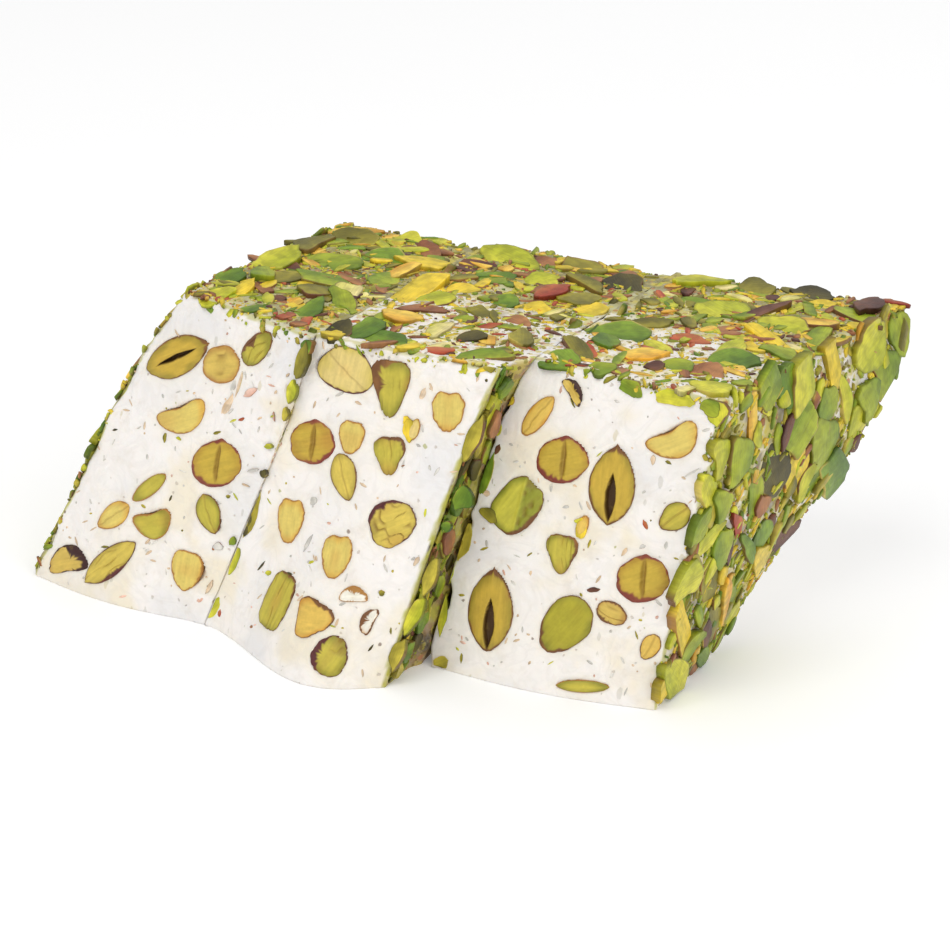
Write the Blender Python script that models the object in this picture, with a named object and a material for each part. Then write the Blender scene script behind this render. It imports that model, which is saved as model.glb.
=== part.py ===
"""Pistachio Turkish delight: three bars of white sweet, cut across and pressed side by side.

Each bar is one body, a leaning block with slivers of pistachio pressed into its top and sides.
Each kernel that shows in a cut face is a body of its own and sits in a pocket of the bar.
The tables are in millimetres, and MM turns them into metres.

A place in a bar is given by three fractions: u from its left side to its right side,
v from the cut face in front to the one behind, and w from the underside to the top.
"""

import math
from dataclasses import dataclass

import bmesh
import bpy
import numpy as np

MM = 0.001

# The block
HEIGHT = 50.0
BLOCK_MIDDLE = (8.4, 22.8)
BACK_RISE_POWER = 0.8
FOOT_SWELL_POWER = 2
CORE_CUTS = 5

# Fits
NEIGHBOUR_GAP = 0.35
POCKET_GAP = 0.35
FLOOR_CLEARANCE = 0.4

# Kernels in the cut faces
KERNEL_SIDES = 12
KERNEL_DEPTH = 3.8
KERNEL_PROUD = 0.4
KERNEL_BACK_SCALE = 0.62
POCKET_REACH = 2.0

# Slivers of the coat
SEED = 2711
SLIVER_SIDES = 6
SLIVER_LENGTH = (6.5, 11.0)
SLIVER_BREADTH = (3.4, 6.0)
SLIVER_STAND = (0.5, 1.4)
LAID_STAND = {"top": (0.4, 1.1), "right": (0.7, 1.7), "front": (0.5, 1.0)}
LAID_STEP = 0.618
LAID_SLOPE = 0.2
LAID_CLEARANCE = 4.6
SLIVER_SINK = 0.7
SLIVER_TOP_SCALE = 0.68
SLIVER_TILT = 0.12
JITTER = 0.75
FLAT_ANGLE = math.radians(0.8)

# Colours
NOUGAT_WHITE = (0.88, 0.84, 0.78, 1.0)
PISTACHIO_GREEN = (0.24, 0.33, 0.05, 1.0)
KERNEL_COLOURS = {
    "olive": (0.62, 0.45, 0.09, 1.0),
    "ivory": (0.79, 0.58, 0.21, 1.0),
    "green": (0.44, 0.40, 0.06, 1.0),
    "skin": (0.14, 0.06, 0.04, 1.0),
}


@dataclass(frozen=True)
class Bar:
    """One bar: the corners of its cut face as (x, y), and how its sides and back run."""

    name: str
    foot: tuple
    head: tuple
    swell: tuple
    back: tuple
    flare: tuple
    bow: tuple
    bow_power: tuple
    belly: tuple
    open_sides: tuple


@dataclass(frozen=True)
class Kernel:
    """One kernel: its kind, its place from the left edge and the floor, its size and turn."""

    kind: str
    across: float
    up: float
    length: float
    breadth: float
    turn: float


@dataclass(frozen=True)
class Laid:
    """A sliver with a place of its own: its face, the face's two fractions, size and turn."""

    face: str
    a: float
    b: float
    length: float
    breadth: float
    turn: float


@dataclass(frozen=True)
class Kind:
    """How a kind of kernel departs from an ellipse, and the colour of its flesh."""

    colour: str
    point: float = 0.0
    taper: float = 0.0
    bend: float = 0.0
    lobes: int = 3
    lobe_depth: float = 0.0
    notch: float = 0.0


BARS = (
    Bar("left", foot=((-54.6, -1.8), (-23.6, -5.4)), head=((-33.0, 8.6), (-7.6, -0.4)),
        swell=(2.2, 1.0), back=(38.0, 53.0, 53.0), flare=(0.15, 0.11), bow=(3.4, 0.8),
        bow_power=(4, 4), belly=(0.0, 1.0), open_sides=(True, False)),
    Bar("middle", foot=((-20.7, -5.6), (14.0, -12.6)), head=((-5.2, 1.2), (24.6, 1.8)),
        swell=(8.2, 1.5), back=(38.0, 56.5, 56.5), flare=(0.11, 0.08), bow=(-0.8, -1.8),
        bow_power=(4, 4), belly=(0.0, 1.0), open_sides=(False, False)),
    Bar("right", foot=((18.0, -2.0), (53.8, 0.6)), head=((29.0, 9.6), (59.0, 6.0)),
        swell=(2.0, 1.0), back=(26.0, 58.5, 63.7), flare=(0.08, 0.175), bow=(4.2, 0.0),
        bow_power=(10, 4), belly=(5.2, 1.75), open_sides=(False, True)),
)

KINDS = {
    "lens": Kind("olive", point=0.45, taper=-0.06),
    "round": Kind("olive", lobes=5, lobe_depth=0.04),
    "rough": Kind("olive", lobes=3, lobe_depth=0.05),
    "half": Kind("ivory", lobes=3, lobe_depth=0.07, notch=0.10),
    "bean": Kind("ivory", bend=-0.28, taper=0.22),
    "tooth": Kind("ivory", taper=0.22, notch=0.16),
    "leaf": Kind("green", point=0.35, taper=0.18),
    "sliver": Kind("green", point=0.20),
    "wedge": Kind("green", lobes=3, lobe_depth=0.16),
    "shard": Kind("green", lobes=3, lobe_depth=0.10, taper=0.30),
    "block": Kind("green", lobes=4, lobe_depth=-0.06),
    "pear": Kind("green", lobes=3, lobe_depth=0.03, taper=0.30),
    "skin": Kind("skin", bend=0.30),
}

FRONT_KERNELS = {
    "left": (
        Kernel("lens", 6.5, 40.1, 13.6, 6.4, 32),
        Kernel("round", 14.9, 41.2, 7.6, 6.0, 16),
        Kernel("shard", 19.1, 45.2, 7.4, 4.2, 50),
        Kernel("bean", 13.0, 31.7, 10.0, 4.6, 27),
        Kernel("round", 23.2, 26.1, 9.4, 7.3, 26),
        Kernel("sliver", 13.7, 19.4, 7.8, 2.7, 45),
        Kernel("leaf", 9.7, 13.3, 7.4, 3.8, 42),
        Kernel("bean", 17.0, 14.4, 7.6, 4.5, 19),
        Kernel("leaf", 26.0, 18.0, 6.6, 4.4, 118),
        Kernel("tooth", 26.5, 8.3, 7.0, 5.5, 85),
        Kernel("skin", 5.5, 3.9, 8.6, 4.4, 22),
        Kernel("lens", 13.1, 6.2, 12.2, 4.6, 46),
    ),
    "middle": (
        Kernel("half", 5.6, 45.3, 7.4, 9.4, 85),
        Kernel("shard", 13.6, 44.5, 8.8, 6.0, 98),
        Kernel("tooth", 24.3, 42.4, 6.3, 5.3, 96),
        Kernel("round", 4.9, 33.1, 8.0, 6.7, 20),
        Kernel("tooth", 10.9, 35.5, 5.6, 4.4, 90),
        Kernel("wedge", 18.2, 34.5, 5.8, 5.0, -79),
        Kernel("sliver", 20.4, 38.7, 3.4, 1.8, 83),
        Kernel("leaf", 12.7, 29.4, 7.6, 4.6, 120),
        Kernel("tooth", 6.9, 20.7, 7.2, 5.4, 97),
        Kernel("rough", 23.8, 24.7, 8.0, 7.1, 30),
        Kernel("tooth", 17.7, 18.2, 7.2, 5.5, 97),
        Kernel("block", 11.3, 8.9, 10.2, 6.5, 84),
        Kernel("wedge", 19.0, 9.0, 7.0, 6.2, 14),
        Kernel("skin", 23.7, 13.4, 4.8, 2.4, 9),
        Kernel("skin", 28.0, 10.2, 4.4, 2.2, 68),
        Kernel("rough", 25.0, 4.6, 6.6, 5.8, 64),
    ),
    "right": (
        Kernel("sliver", 4.6, 41.4, 8.0, 3.3, 59),
        Kernel("skin", 8.0, 46.2, 5.0, 2.2, -45),
        Kernel("round", 11.0, 35.7, 8.8, 7.1, 22),
        Kernel("bean", 27.1, 42.6, 9.2, 4.6, 31),
        Kernel("lens", 20.1, 33.6, 12.4, 7.6, 91),
        Kernel("block", 5.8, 27.3, 9.8, 7.6, 58),
        Kernel("leaf", 31.2, 30.9, 6.0, 4.1, 43),
        Kernel("wedge", 15.0, 22.0, 6.0, 5.0, -86),
        Kernel("sliver", 17.2, 26.6, 3.4, 1.9, 76),
        Kernel("round", 28.7, 20.4, 8.5, 7.1, 28),
        Kernel("lens", 6.2, 10.7, 13.2, 7.7, 94),
        Kernel("pear", 18.6, 10.9, 10.4, 7.1, 56),
        Kernel("shard", 25.2, 14.3, 5.0, 3.7, -15),
        Kernel("sliver", 24.0, 2.2, 8.5, 2.0, 7),
        Kernel("leaf", 32.6, 10.0, 4.6, 3.0, 65),
    ),
}

BACK_KERNELS = {
    "left": (
        Kernel("lens", 10.0, 38.0, 11.6, 6.2, 68),
        Kernel("round", 20.8, 30.0, 8.4, 7.0, 10),
        Kernel("tooth", 11.0, 19.5, 6.8, 5.4, 95),
        Kernel("leaf", 21.7, 10.5, 7.6, 4.4, -35),
    ),
    "middle": (
        Kernel("bean", 9.5, 41.0, 9.6, 4.6, 22),
        Kernel("round", 20.5, 34.0, 8.8, 7.2, 30),
        Kernel("block", 9.5, 23.0, 9.8, 7.0, 60),
        Kernel("lens", 22.0, 13.0, 12.0, 6.8, 84),
    ),
    "right": (
        Kernel("round", 10.0, 39.5, 8.6, 7.2, 14),
        Kernel("lens", 25.0, 35.0, 12.2, 7.0, 100),
        Kernel("tooth", 14.0, 21.5, 6.8, 5.6, 88),
        Kernel("wedge", 26.0, 13.0, 6.4, 5.2, -80),
    ),
}

LAID = {
    "left": (
        Laid("top", 0.19, 0.04, 6.8, 5.0, 89),
        Laid("top", 0.08, 0.19, 7.4, 5.0, -89),
        Laid("top", 0.27, 0.11, 9.5, 3.0, -87),
        Laid("top", 0.12, 0.44, 13.4, 6.0, 88),
        Laid("top", 0.25, 0.44, 3.9, 4.0, 13),
        Laid("top", 0.52, 0.17, 3.2, 2.5, 85),
        Laid("top", 0.63, 0.19, 2.8, 3.0, -90),
        Laid("top", 0.38, 0.56, 13.5, 6.5, 26),
        Laid("top", 0.27, 0.82, 8.1, 8.5, 41),
        Laid("top", 0.63, 0.73, 8.4, 6.0, 12),
        Laid("top", 0.55, 0.93, 4.9, 6.0, 8),
        Laid("top", 0.77, 0.87, 4.6, 6.5, 41),
        Laid("top", 0.88, 0.29, 11.8, 4.2, -43),
        Laid("top", 0.80, 0.36, 6.3, 5.0, -69),
        Laid("top", 0.80, 0.15, 9.0, 4.5, -83),
    ),
    "middle": (
        Laid("top", 0.07, 0.76, 6.9, 7.0, 49),
        Laid("top", 0.17, 0.87, 13.2, 7.0, -22),
        Laid("top", 0.27, 0.70, 7.8, 4.0, 50),
        Laid("top", 0.04, 0.47, 12.4, 5.0, 80),
        Laid("top", 0.19, 0.43, 7.1, 5.0, 51),
        Laid("top", 0.23, 0.54, 6.3, 4.5, 59),
        Laid("top", 0.52, 0.52, 4.7, 5.0, 20),
        Laid("top", 0.03, 0.05, 6.6, 4.5, 87),
        Laid("top", 0.13, 0.09, 7.7, 4.5, 71),
        Laid("top", 0.30, 0.06, 7.6, 5.5, -9),
        Laid("top", 0.63, 0.30, 4.7, 2.0, 49),
        Laid("top", 0.65, 0.19, 5.1, 3.5, 41),
        Laid("top", 0.83, 0.07, 9.6, 4.0, 26),
        Laid("top", 0.47, 0.32, 3.1, 3.5, 68),
        Laid("top", 0.49, 0.40, 2.7, 4.5, 52),
        Laid("top", 0.73, 0.38, 5.4, 3.5, -20),
        Laid("top", 0.52, 0.74, 6.6, 6.5, 54),
        Laid("top", 0.38, 0.90, 4.6, 5.0, 65),
        Laid("top", 0.59, 0.90, 6.6, 8.0, -5),
        Laid("top", 0.92, 0.85, 7.9, 7.0, -52),
        Laid("top", 0.72, 0.51, 4.9, 4.0, 2),
        Laid("top", 0.98, 0.58, 4.7, 3.5, 55),
    ),
    "right": (
        Laid("top", 0.05, 0.03, 6.1, 6.5, -35),
        Laid("top", 0.12, 0.34, 10.8, 7.5, 15),
        Laid("top", 0.44, 0.40, 6.6, 3.0, 7),
        Laid("top", 0.17, 0.47, 8.2, 3.5, 21),
        Laid("top", 0.39, 0.68, 10.2, 8.5, -29),
        Laid("top", 0.22, 0.72, 8.6, 4.0, 1),
        Laid("top", 0.54, 0.72, 12.3, 2.5, 62),
        Laid("top", 0.71, 0.64, 9.1, 8.0, -9),
        Laid("top", 0.76, 0.51, 13.5, 3.0, -39),
        Laid("top", 0.75, 0.29, 9.0, 7.5, 54),
        Laid("top", 0.73, 0.18, 5.9, 6.0, 90),
        Laid("top", 0.50, 0.12, 3.3, 3.0, 36),
        Laid("top", 0.57, 0.17, 5.8, 4.5, 27),
        Laid("top", 0.29, 0.03, 4.4, 4.0, 14),
        Laid("top", 0.09, 0.11, 11.8, 3.5, -45),
        Laid("top", 0.10, 0.14, 5.8, 3.0, -31),
        Laid("top", 0.36, 0.94, 6.5, 7.0, 16),
        Laid("top", 0.60, 0.97, 7.4, 5.0, -4),
        Laid("top", 0.70, 0.89, 4.7, 4.0, 13),
        Laid("right", 0.24, 0.97, 6.4, 6.0, -54),
        Laid("right", 0.34, 0.95, 8.1, 6.0, -71),
        Laid("right", 0.42, 0.93, 8.9, 6.5, -77),
        Laid("right", 0.58, 0.94, 9.6, 3.4, -70),
        Laid("right", 0.71, 0.81, 9.8, 3.2, -71),
        Laid("right", 0.79, 0.94, 10.9, 9.0, 24),
        Laid("right", 0.96, 0.93, 8.3, 7.0, -71),
        Laid("right", 0.92, 0.83, 8.6, 8.5, -73),
        Laid("right", 0.87, 0.77, 7.9, 7.0, -56),
        Laid("right", 0.61, 0.82, 6.8, 6.0, -56),
        Laid("right", 0.40, 0.79, 6.2, 3.0, 71),
        Laid("right", 0.49, 0.77, 8.4, 7.0, 46),
        Laid("right", 0.69, 0.68, 11.1, 9.0, -69),
        Laid("right", 0.93, 0.53, 12.5, 6.0, -45),
        Laid("right", 0.88, 0.69, 8.4, 6.0, -84),
        Laid("right", 0.42, 0.67, 12.0, 8.0, -52),
        Laid("right", 0.57, 0.62, 8.8, 7.0, -52),
        Laid("right", 0.18, 0.90, 9.8, 2.5, -80),
        Laid("right", 0.15, 0.78, 8.4, 7.0, -86),
        Laid("right", 0.04, 0.82, 7.7, 5.0, -70),
        Laid("right", 0.34, 0.61, 12.5, 4.5, -73),
        Laid("right", 0.41, 0.56, 4.3, 4.0, -74),
        Laid("right", 0.02, 0.71, 7.9, 4.0, -59),
        Laid("right", 0.11, 0.65, 6.8, 4.5, -63),
        Laid("right", 0.02, 0.60, 6.8, 4.5, 51),
        Laid("right", 0.09, 0.53, 10.8, 3.5, 27),
        Laid("right", 0.23, 0.47, 8.7, 5.0, -65),
        Laid("right", 0.29, 0.46, 9.0, 2.0, -64),
        Laid("right", 0.29, 0.53, 6.9, 2.5, -57),
        Laid("right", 0.48, 0.41, 11.3, 2.5, -46),
        Laid("right", 0.56, 0.43, 6.5, 6.0, -59),
        Laid("right", 0.74, 0.31, 12.5, 5.0, -41),
        Laid("right", 0.02, 0.42, 9.0, 7.0, 4),
        Laid("right", 0.24, 0.36, 9.1, 5.0, -62),
        Laid("right", 0.09, 0.25, 12.4, 4.0, -54),
        Laid("right", 0.53, 0.17, 11.3, 4.5, -54),
        Laid("right", 0.51, 0.24, 12.5, 2.5, -64),
        Laid("right", 0.47, 0.14, 7.2, 3.0, -52),
        Laid("right", 0.68, 0.20, 3.6, 5.0, -86),
        Laid("right", 0.17, 0.07, 12.5, 7.0, -43),
        Laid("right", 0.64, 0.04, 9.7, 4.0, -37),
        Laid("right", 0.52, 0.03, 7.9, 2.5, -48),
        Laid("right", 0.02, 0.07, 3.8, 4.0, 11),
        Laid("front", 0.51, 0.98, 4.0, 3.4, -17),
        Laid("front", 0.75, 0.98, 6.6, 3.0, 5),
        Laid("front", 0.95, 0.98, 3.3, 3.4, -17),
        Laid("front", 0.98, 0.97, 4.6, 3.8, -76),
    ),
}


def blend(start, end, t):
    """A value a fraction t of the way from start to end."""
    return start * (1.0 - t) + end * t


def side_x(bar, side, w):
    """X of a side's front edge: a straight lean and a bow that dies out at the top corner."""
    straight = blend(bar.foot[side][0], bar.head[side][0], w)
    fade = 1.0 - np.clip(w, 0.0, 1.0) ** bar.bow_power[side]
    outward = 1.0 if side else -1.0
    return straight + outward * bar.bow[side] * w * fade


def cut_y(bar, u, w):
    """Y of the front cut face, whose foot swells forward between its corners."""
    foot = blend(bar.foot[0][1], bar.foot[1][1], u)
    head = blend(bar.head[0][1], bar.head[1][1], u)
    depth, lean = bar.swell
    belly = np.sin(math.pi * np.clip(u, 0.0, 1.0) ** lean)
    return blend(foot, head, w) - depth * belly * (1.0 - w) ** FOOT_SWELL_POWER


def back_y(bar, u, w):
    """Y of the cut face behind, which slants outward from the underside to the top."""
    foot, head_left, head_right = bar.back
    return blend(foot, blend(head_left, head_right, u), np.clip(w, 0.0, None) ** BACK_RISE_POWER)


def block_point(bar, u, v, w):
    """The place of the fractions u, v and w, as rows of x, y and z in millimetres.

    The right side bellies out towards the back.
    """
    front = cut_y(bar, u, w)
    depth = (back_y(bar, u, w) - front) * v
    x = blend(side_x(bar, 0, w), side_x(bar, 1, w), u) + blend(*bar.flare, u) * w * depth
    amount, lean = bar.belly
    x = x + amount * u * v * np.sin(math.pi * np.clip(w, 0.0, 1.0) ** lean)
    y = front + depth
    return np.stack([x - BLOCK_MIDDLE[0], y - BLOCK_MIDDLE[1], HEIGHT * w], axis=-1)


def face_point(bar, face, a, b):
    """A place on one face, by its two fractions."""
    low = np.zeros_like(a)
    high = np.ones_like(a)
    places = {
        "top": (a, b, high),
        "left": (low, a, b),
        "right": (high, a, b),
        "front": (a, low, b),
        "back": (a, high, b),
    }
    return block_point(bar, *places[face])


def face_frame(bar, face, a, b):
    """The face's outward normal at a place, and the matrix from millimetres to fractions."""
    step = 0.001
    here = np.array([a, a + step, a])
    there = np.array([b, b, b + step])
    point, along, across = face_point(bar, face, here, there)
    along = (along - point) / step
    across = (across - point) / step
    first = along / np.linalg.norm(along)
    normal = np.cross(along, across)
    normal = normal / np.linalg.norm(normal)
    second = np.cross(normal, first)
    slopes = np.array([[along @ first, across @ first], [along @ second, across @ second]])
    outward = -normal if face in ("left", "back") else normal
    return outward, np.linalg.inv(slopes)


def lay_on_face(bar, face, spot, flat, height, direction=None):
    """Wraps points drawn flat round a spot of a face, each raised along one direction."""
    outward, to_fractions = face_frame(bar, face, *spot)
    fractions = flat @ to_fractions.T
    base = face_point(bar, face, spot[0] + fractions[:, 0], spot[1] + fractions[:, 1])
    rise = outward if direction is None else direction
    return base + height[:, None] * rise


def side_at(bar, side, y, w):
    """X of a side's surface at a world y and a height fraction."""
    corner = cut_y(bar, float(side), w) - BLOCK_MIDDLE[1]
    return side_x(bar, side, w) - BLOCK_MIDDLE[0] + bar.flare[side] * w * (y - corner)


def keep_to_own_half(index, points):
    """Holds a bar's slivers off the floor and off the bars beside it."""
    points[:, 2] = np.maximum(points[:, 2], FLOOR_CLEARANCE)
    y = points[:, 1]
    w = np.clip(points[:, 2] / HEIGHT, 0.0, 1.0)
    if index > 0:
        middle = 0.5 * (side_at(BARS[index - 1], 1, y, w) + side_at(BARS[index], 0, y, w))
        points[:, 0] = np.maximum(points[:, 0], middle + 0.5 * NEIGHBOUR_GAP)
    if index < len(BARS) - 1:
        middle = 0.5 * (side_at(BARS[index], 1, y, w) + side_at(BARS[index + 1], 0, y, w))
        points[:, 0] = np.minimum(points[:, 0], middle - 0.5 * NEIGHBOUR_GAP)
    return points


def kernel_outline(kernel, sides, grow=0.0):
    """Points round a kernel: an ellipse that its kind points, tapers, bends, lobes and notches."""
    kind = KINDS[kernel.kind]
    angle = np.arange(sides) * 2.0 * math.pi / sides
    ripple = 1.0 + kind.lobe_depth * np.cos(kind.lobes * angle)
    dent = kind.notch * np.exp(-((np.angle(np.exp(1j * angle)) / 0.4) ** 2))
    x = 0.5 * kernel.length * np.cos(angle) * ripple * (1.0 - dent)
    y = 0.5 * kernel.breadth * np.sin(angle) * np.abs(np.sin(angle)) ** kind.point * ripple
    y = y * (1.0 + kind.taper * np.cos(angle))
    y = y - kind.bend * kernel.breadth * (np.cos(angle) ** 2 - 0.5)
    outline = np.stack([x, y], axis=-1)
    chord = np.roll(outline, -1, axis=0) - np.roll(outline, 1, axis=0)
    outward = np.stack([chord[:, 1], -chord[:, 0]], axis=-1)
    outward = outward / np.linalg.norm(outward, axis=1, keepdims=True)
    turn = math.radians(kernel.turn)
    rotation = np.array([[math.cos(turn), math.sin(turn)], [-math.sin(turn), math.cos(turn)]])
    return (outline + grow * outward) @ rotation


def cone_rings(sides, foot_scale, head_scale):
    """A capped cone as a bmesh, with each vertex's place round the ring and its end."""
    shape = bmesh.new()
    bmesh.ops.create_cone(shape, cap_ends=True, segments=sides, radius1=foot_scale,
                          radius2=head_scale, depth=1.0)
    places = np.array([vertex.co for vertex in shape.verts])
    steps = np.arctan2(places[:, 1], places[:, 0]) * sides / (2.0 * math.pi)
    return shape, np.round(steps).astype(int) % sides, places[:, 2] > 0.0


def place_vertices(shape, points):
    """Moves a bmesh's vertices to points in millimetres and turns its faces outward."""
    for vertex, point in zip(shape.verts, points * MM):
        vertex.co = point
    bmesh.ops.triangulate(shape, faces=shape.faces[:])
    bmesh.ops.recalc_face_normals(shape, faces=shape.faces[:])


def new_object(name, shape, collection, materials, slot=0):
    """Puts a bmesh into the scene as an object with its materials."""
    mesh = bpy.data.meshes.new(name)
    for face in shape.faces:
        face.material_index = slot
    shape.to_mesh(mesh)
    shape.free()
    for material in materials:
        mesh.materials.append(material)
    made = bpy.data.objects.new(name, mesh)
    collection.objects.link(made)
    return made


def kernel_solid(bar, face, kernel, grow=0.0, reach=KERNEL_PROUD):
    """A kernel, or with grow its pocket's cutter: a tapering plug set straight into a face."""
    width = float(side_x(bar, 1, kernel.up / HEIGHT) - side_x(bar, 0, kernel.up / HEIGHT))
    spot = (kernel.across / width, kernel.up / HEIGHT)
    shape, ring, front = cone_rings(KERNEL_SIDES, KERNEL_BACK_SCALE, 1.0)
    taper = (1.0 - KERNEL_BACK_SCALE) / (KERNEL_DEPTH + KERNEL_PROUD)
    wide = 1.0 + taper * (reach - KERNEL_PROUD)
    head = kernel_outline(kernel, KERNEL_SIDES) * wide
    foot = kernel_outline(kernel, KERNEL_SIDES) * KERNEL_BACK_SCALE
    margin = kernel_outline(kernel, KERNEL_SIDES, grow) - kernel_outline(kernel, KERNEL_SIDES)
    flat = np.where(front[:, None], head[ring], foot[ring]) + margin[ring]
    height = np.where(front, reach, -KERNEL_DEPTH - grow)
    straight_out = np.array([0.0, -1.0 if face == "front" else 1.0, 0.0])
    place_vertices(shape, lay_on_face(bar, face, spot, flat, height, straight_out))
    return shape


def sliver_solid(index, face, spot, size, turn, tilt):
    """A sliver of pistachio half sunk into a face: a thin six-sided slab with sloping edges."""
    length, breadth, stand = size
    shape, ring, top = cone_rings(SLIVER_SIDES, 1.0, SLIVER_TOP_SCALE)
    angle = ring * 2.0 * math.pi / SLIVER_SIDES
    scale = np.where(top, SLIVER_TOP_SCALE, 1.0)
    x = 0.5 * length * np.cos(angle) * scale
    y = 0.5 * breadth * np.sin(angle) * scale
    flat = np.stack([x * math.cos(turn) - y * math.sin(turn),
                     x * math.sin(turn) + y * math.cos(turn)], axis=-1)
    height = np.where(top, stand, -SLIVER_SINK) + np.where(top, flat @ np.array(tilt), 0.0)
    points = lay_on_face(BARS[index], face, spot, flat, height)
    place_vertices(shape, keep_to_own_half(index, points))
    return shape


def coat_bands(bar):
    """Where a bar's slivers lie: face, columns, rows, the ranges of both fractions, main turn."""
    bands = [("top", 4, 8, (0.06, 0.94), (0.03, 0.97), 0.9)]
    for face, is_open in zip(("left", "right"), bar.open_sides):
        if is_open:
            bands.append((face, 6, 5, (0.05, 0.95), (0.07, 0.95), 1.25))
        else:
            bands.append((face, 1, 7, (0.05, 0.06), (0.05, 0.93), 1.4))
            bands.append((face, 6, 1, (0.16, 0.96), (0.93, 0.94), 0.2))
    return bands


def add_laid_slivers(index, collection, materials):
    """Lays a bar's listed slivers, those on top sloping down to the front, and gives their places."""
    bar = BARS[index]
    places = []
    for number, laid in enumerate(LAID[bar.name]):
        stand = blend(*LAID_STAND[laid.face], LAID_STEP * number % 1.0)
        tilt = (0.0, LAID_SLOPE if laid.face == "top" else 0.0)
        shape = sliver_solid(index, laid.face, (laid.a, laid.b), (laid.length, laid.breadth, stand),
                             math.radians(laid.turn), tilt)
        new_object(f"sliver_{bar.name}", shape, collection, materials, slot=1)
        places.append(face_point(bar, laid.face, np.array(laid.a), np.array(laid.b)))
    return np.array(places)


def add_slivers(index, collection, materials):
    """Spreads slivers over a bar's coat, one in each cell of every band that has none laid near."""
    bar = BARS[index]
    laid = add_laid_slivers(index, collection, materials)
    draw = np.random.default_rng(SEED + index)
    for face, columns, rows, a_range, b_range, main_turn in coat_bands(bar):
        chances = draw.random((columns * rows, 8))
        for cell, chance in enumerate(chances):
            column, row = cell % columns, cell // columns
            a = (column + 0.5 + JITTER * (chance[0] - 0.5)) / columns
            b = (row + 0.5 + JITTER * (chance[1] - 0.5)) / rows
            spot = (blend(*a_range, a), blend(*b_range, b))
            away = laid - face_point(bar, face, np.array(spot[0]), np.array(spot[1]))
            if np.linalg.norm(away, axis=1).min() < LAID_CLEARANCE:
                continue
            size = (blend(*SLIVER_LENGTH, chance[2] ** 1.5), blend(*SLIVER_BREADTH, chance[3]),
                    blend(*SLIVER_STAND, chance[4]))
            turn = main_turn + math.pi * (chance[5] - 0.5) * (1.0 if face == "top" else 0.5)
            tilt = SLIVER_TILT * (2.0 * chance[6:8] - 1.0)
            shape = sliver_solid(index, face, spot, size, turn, tilt)
            new_object(f"sliver_{bar.name}", shape, collection, materials, slot=1)


def core_shape(bar):
    """The bare block of a bar: a cube cut into a grid, each vertex sent to its fractions."""
    shape = bmesh.new()
    bmesh.ops.create_cube(shape, size=1.0)
    bmesh.ops.subdivide_edges(shape, edges=shape.edges[:], cuts=CORE_CUTS, use_grid_fill=True)
    fractions = np.array([vertex.co for vertex in shape.verts]) + 0.5
    place_vertices(shape, block_point(bar, *fractions.T))
    return shape


def join_with(body, collection, operation):
    """Adds a collection's objects to a body or cuts them out of it, and removes them."""
    modifier = body.modifiers.new(operation.title(), "BOOLEAN")
    modifier.operation = operation
    modifier.operand_type = "COLLECTION"
    modifier.collection = collection
    modifier.solver = "MANIFOLD"
    scene_state = bpy.context.evaluated_depsgraph_get()
    result = bpy.data.meshes.new_from_object(body.evaluated_get(scene_state))
    body.modifiers.clear()
    body.data = result
    for extra in list(collection.objects):
        bpy.data.objects.remove(extra)


def keep_main_body(body):
    """Drops loose scraps and fills sealed hollows, by keeping the largest shell alone."""
    shape = bmesh.new()
    shape.from_mesh(body.data)
    unseen = set(shape.verts)
    shells = []
    while unseen:
        shell = {unseen.pop()}
        edge_of_search = list(shell)
        while edge_of_search:
            near = {edge.other_vert(vertex) for vertex in edge_of_search
                    for edge in vertex.link_edges} & unseen
            unseen -= near
            shell |= near
            edge_of_search = list(near)
        shells.append(shell)
    shells.sort(key=len)
    loose = [vertex for shell in shells[:-1] for vertex in shell]
    bmesh.ops.delete(shape, geom=loose, context="VERTS")
    bmesh.ops.dissolve_limit(shape, angle_limit=FLAT_ANGLE, verts=shape.verts[:],
                             edges=shape.edges[:], delimit={"MATERIAL"})
    bmesh.ops.triangulate(shape, faces=shape.faces[:])
    shape.to_mesh(body.data)
    shape.free()


def new_material(name, colour, roughness):
    """A Principled material of one colour."""
    material = bpy.data.materials.new(name)
    material.use_nodes = True
    shader = material.node_tree.nodes["Principled BSDF"]
    shader.inputs["Base Color"].default_value = colour
    shader.inputs["Roughness"].default_value = roughness
    shader.inputs["Metallic"].default_value = 0.0
    material.diffuse_color = colour
    return material


def new_collection(name):
    """A collection in the scene."""
    collection = bpy.data.collections.new(name)
    bpy.context.scene.collection.children.link(collection)
    return collection


def build_bar(index, sweet, work, coat_materials, flesh):
    """One bar with its coat and its pockets, and the kernels that fill them."""
    bar = BARS[index]
    body = new_object(f"bar_{bar.name}", core_shape(bar), sweet, coat_materials)
    add_slivers(index, work, coat_materials)
    join_with(body, work, "UNION")
    for face, kernels in (("front", FRONT_KERNELS[bar.name]), ("back", BACK_KERNELS[bar.name])):
        for number, kernel in enumerate(kernels, start=1):
            cutter = kernel_solid(bar, face, kernel, grow=POCKET_GAP, reach=POCKET_REACH)
            new_object("pocket", cutter, work, coat_materials)
            name = f"kernel_{face}_{bar.name}_{number:02d}"
            material = flesh[KINDS[kernel.kind].colour]
            new_object(name, kernel_solid(bar, face, kernel), sweet, [material])
    join_with(body, work, "DIFFERENCE")
    keep_main_body(body)


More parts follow.
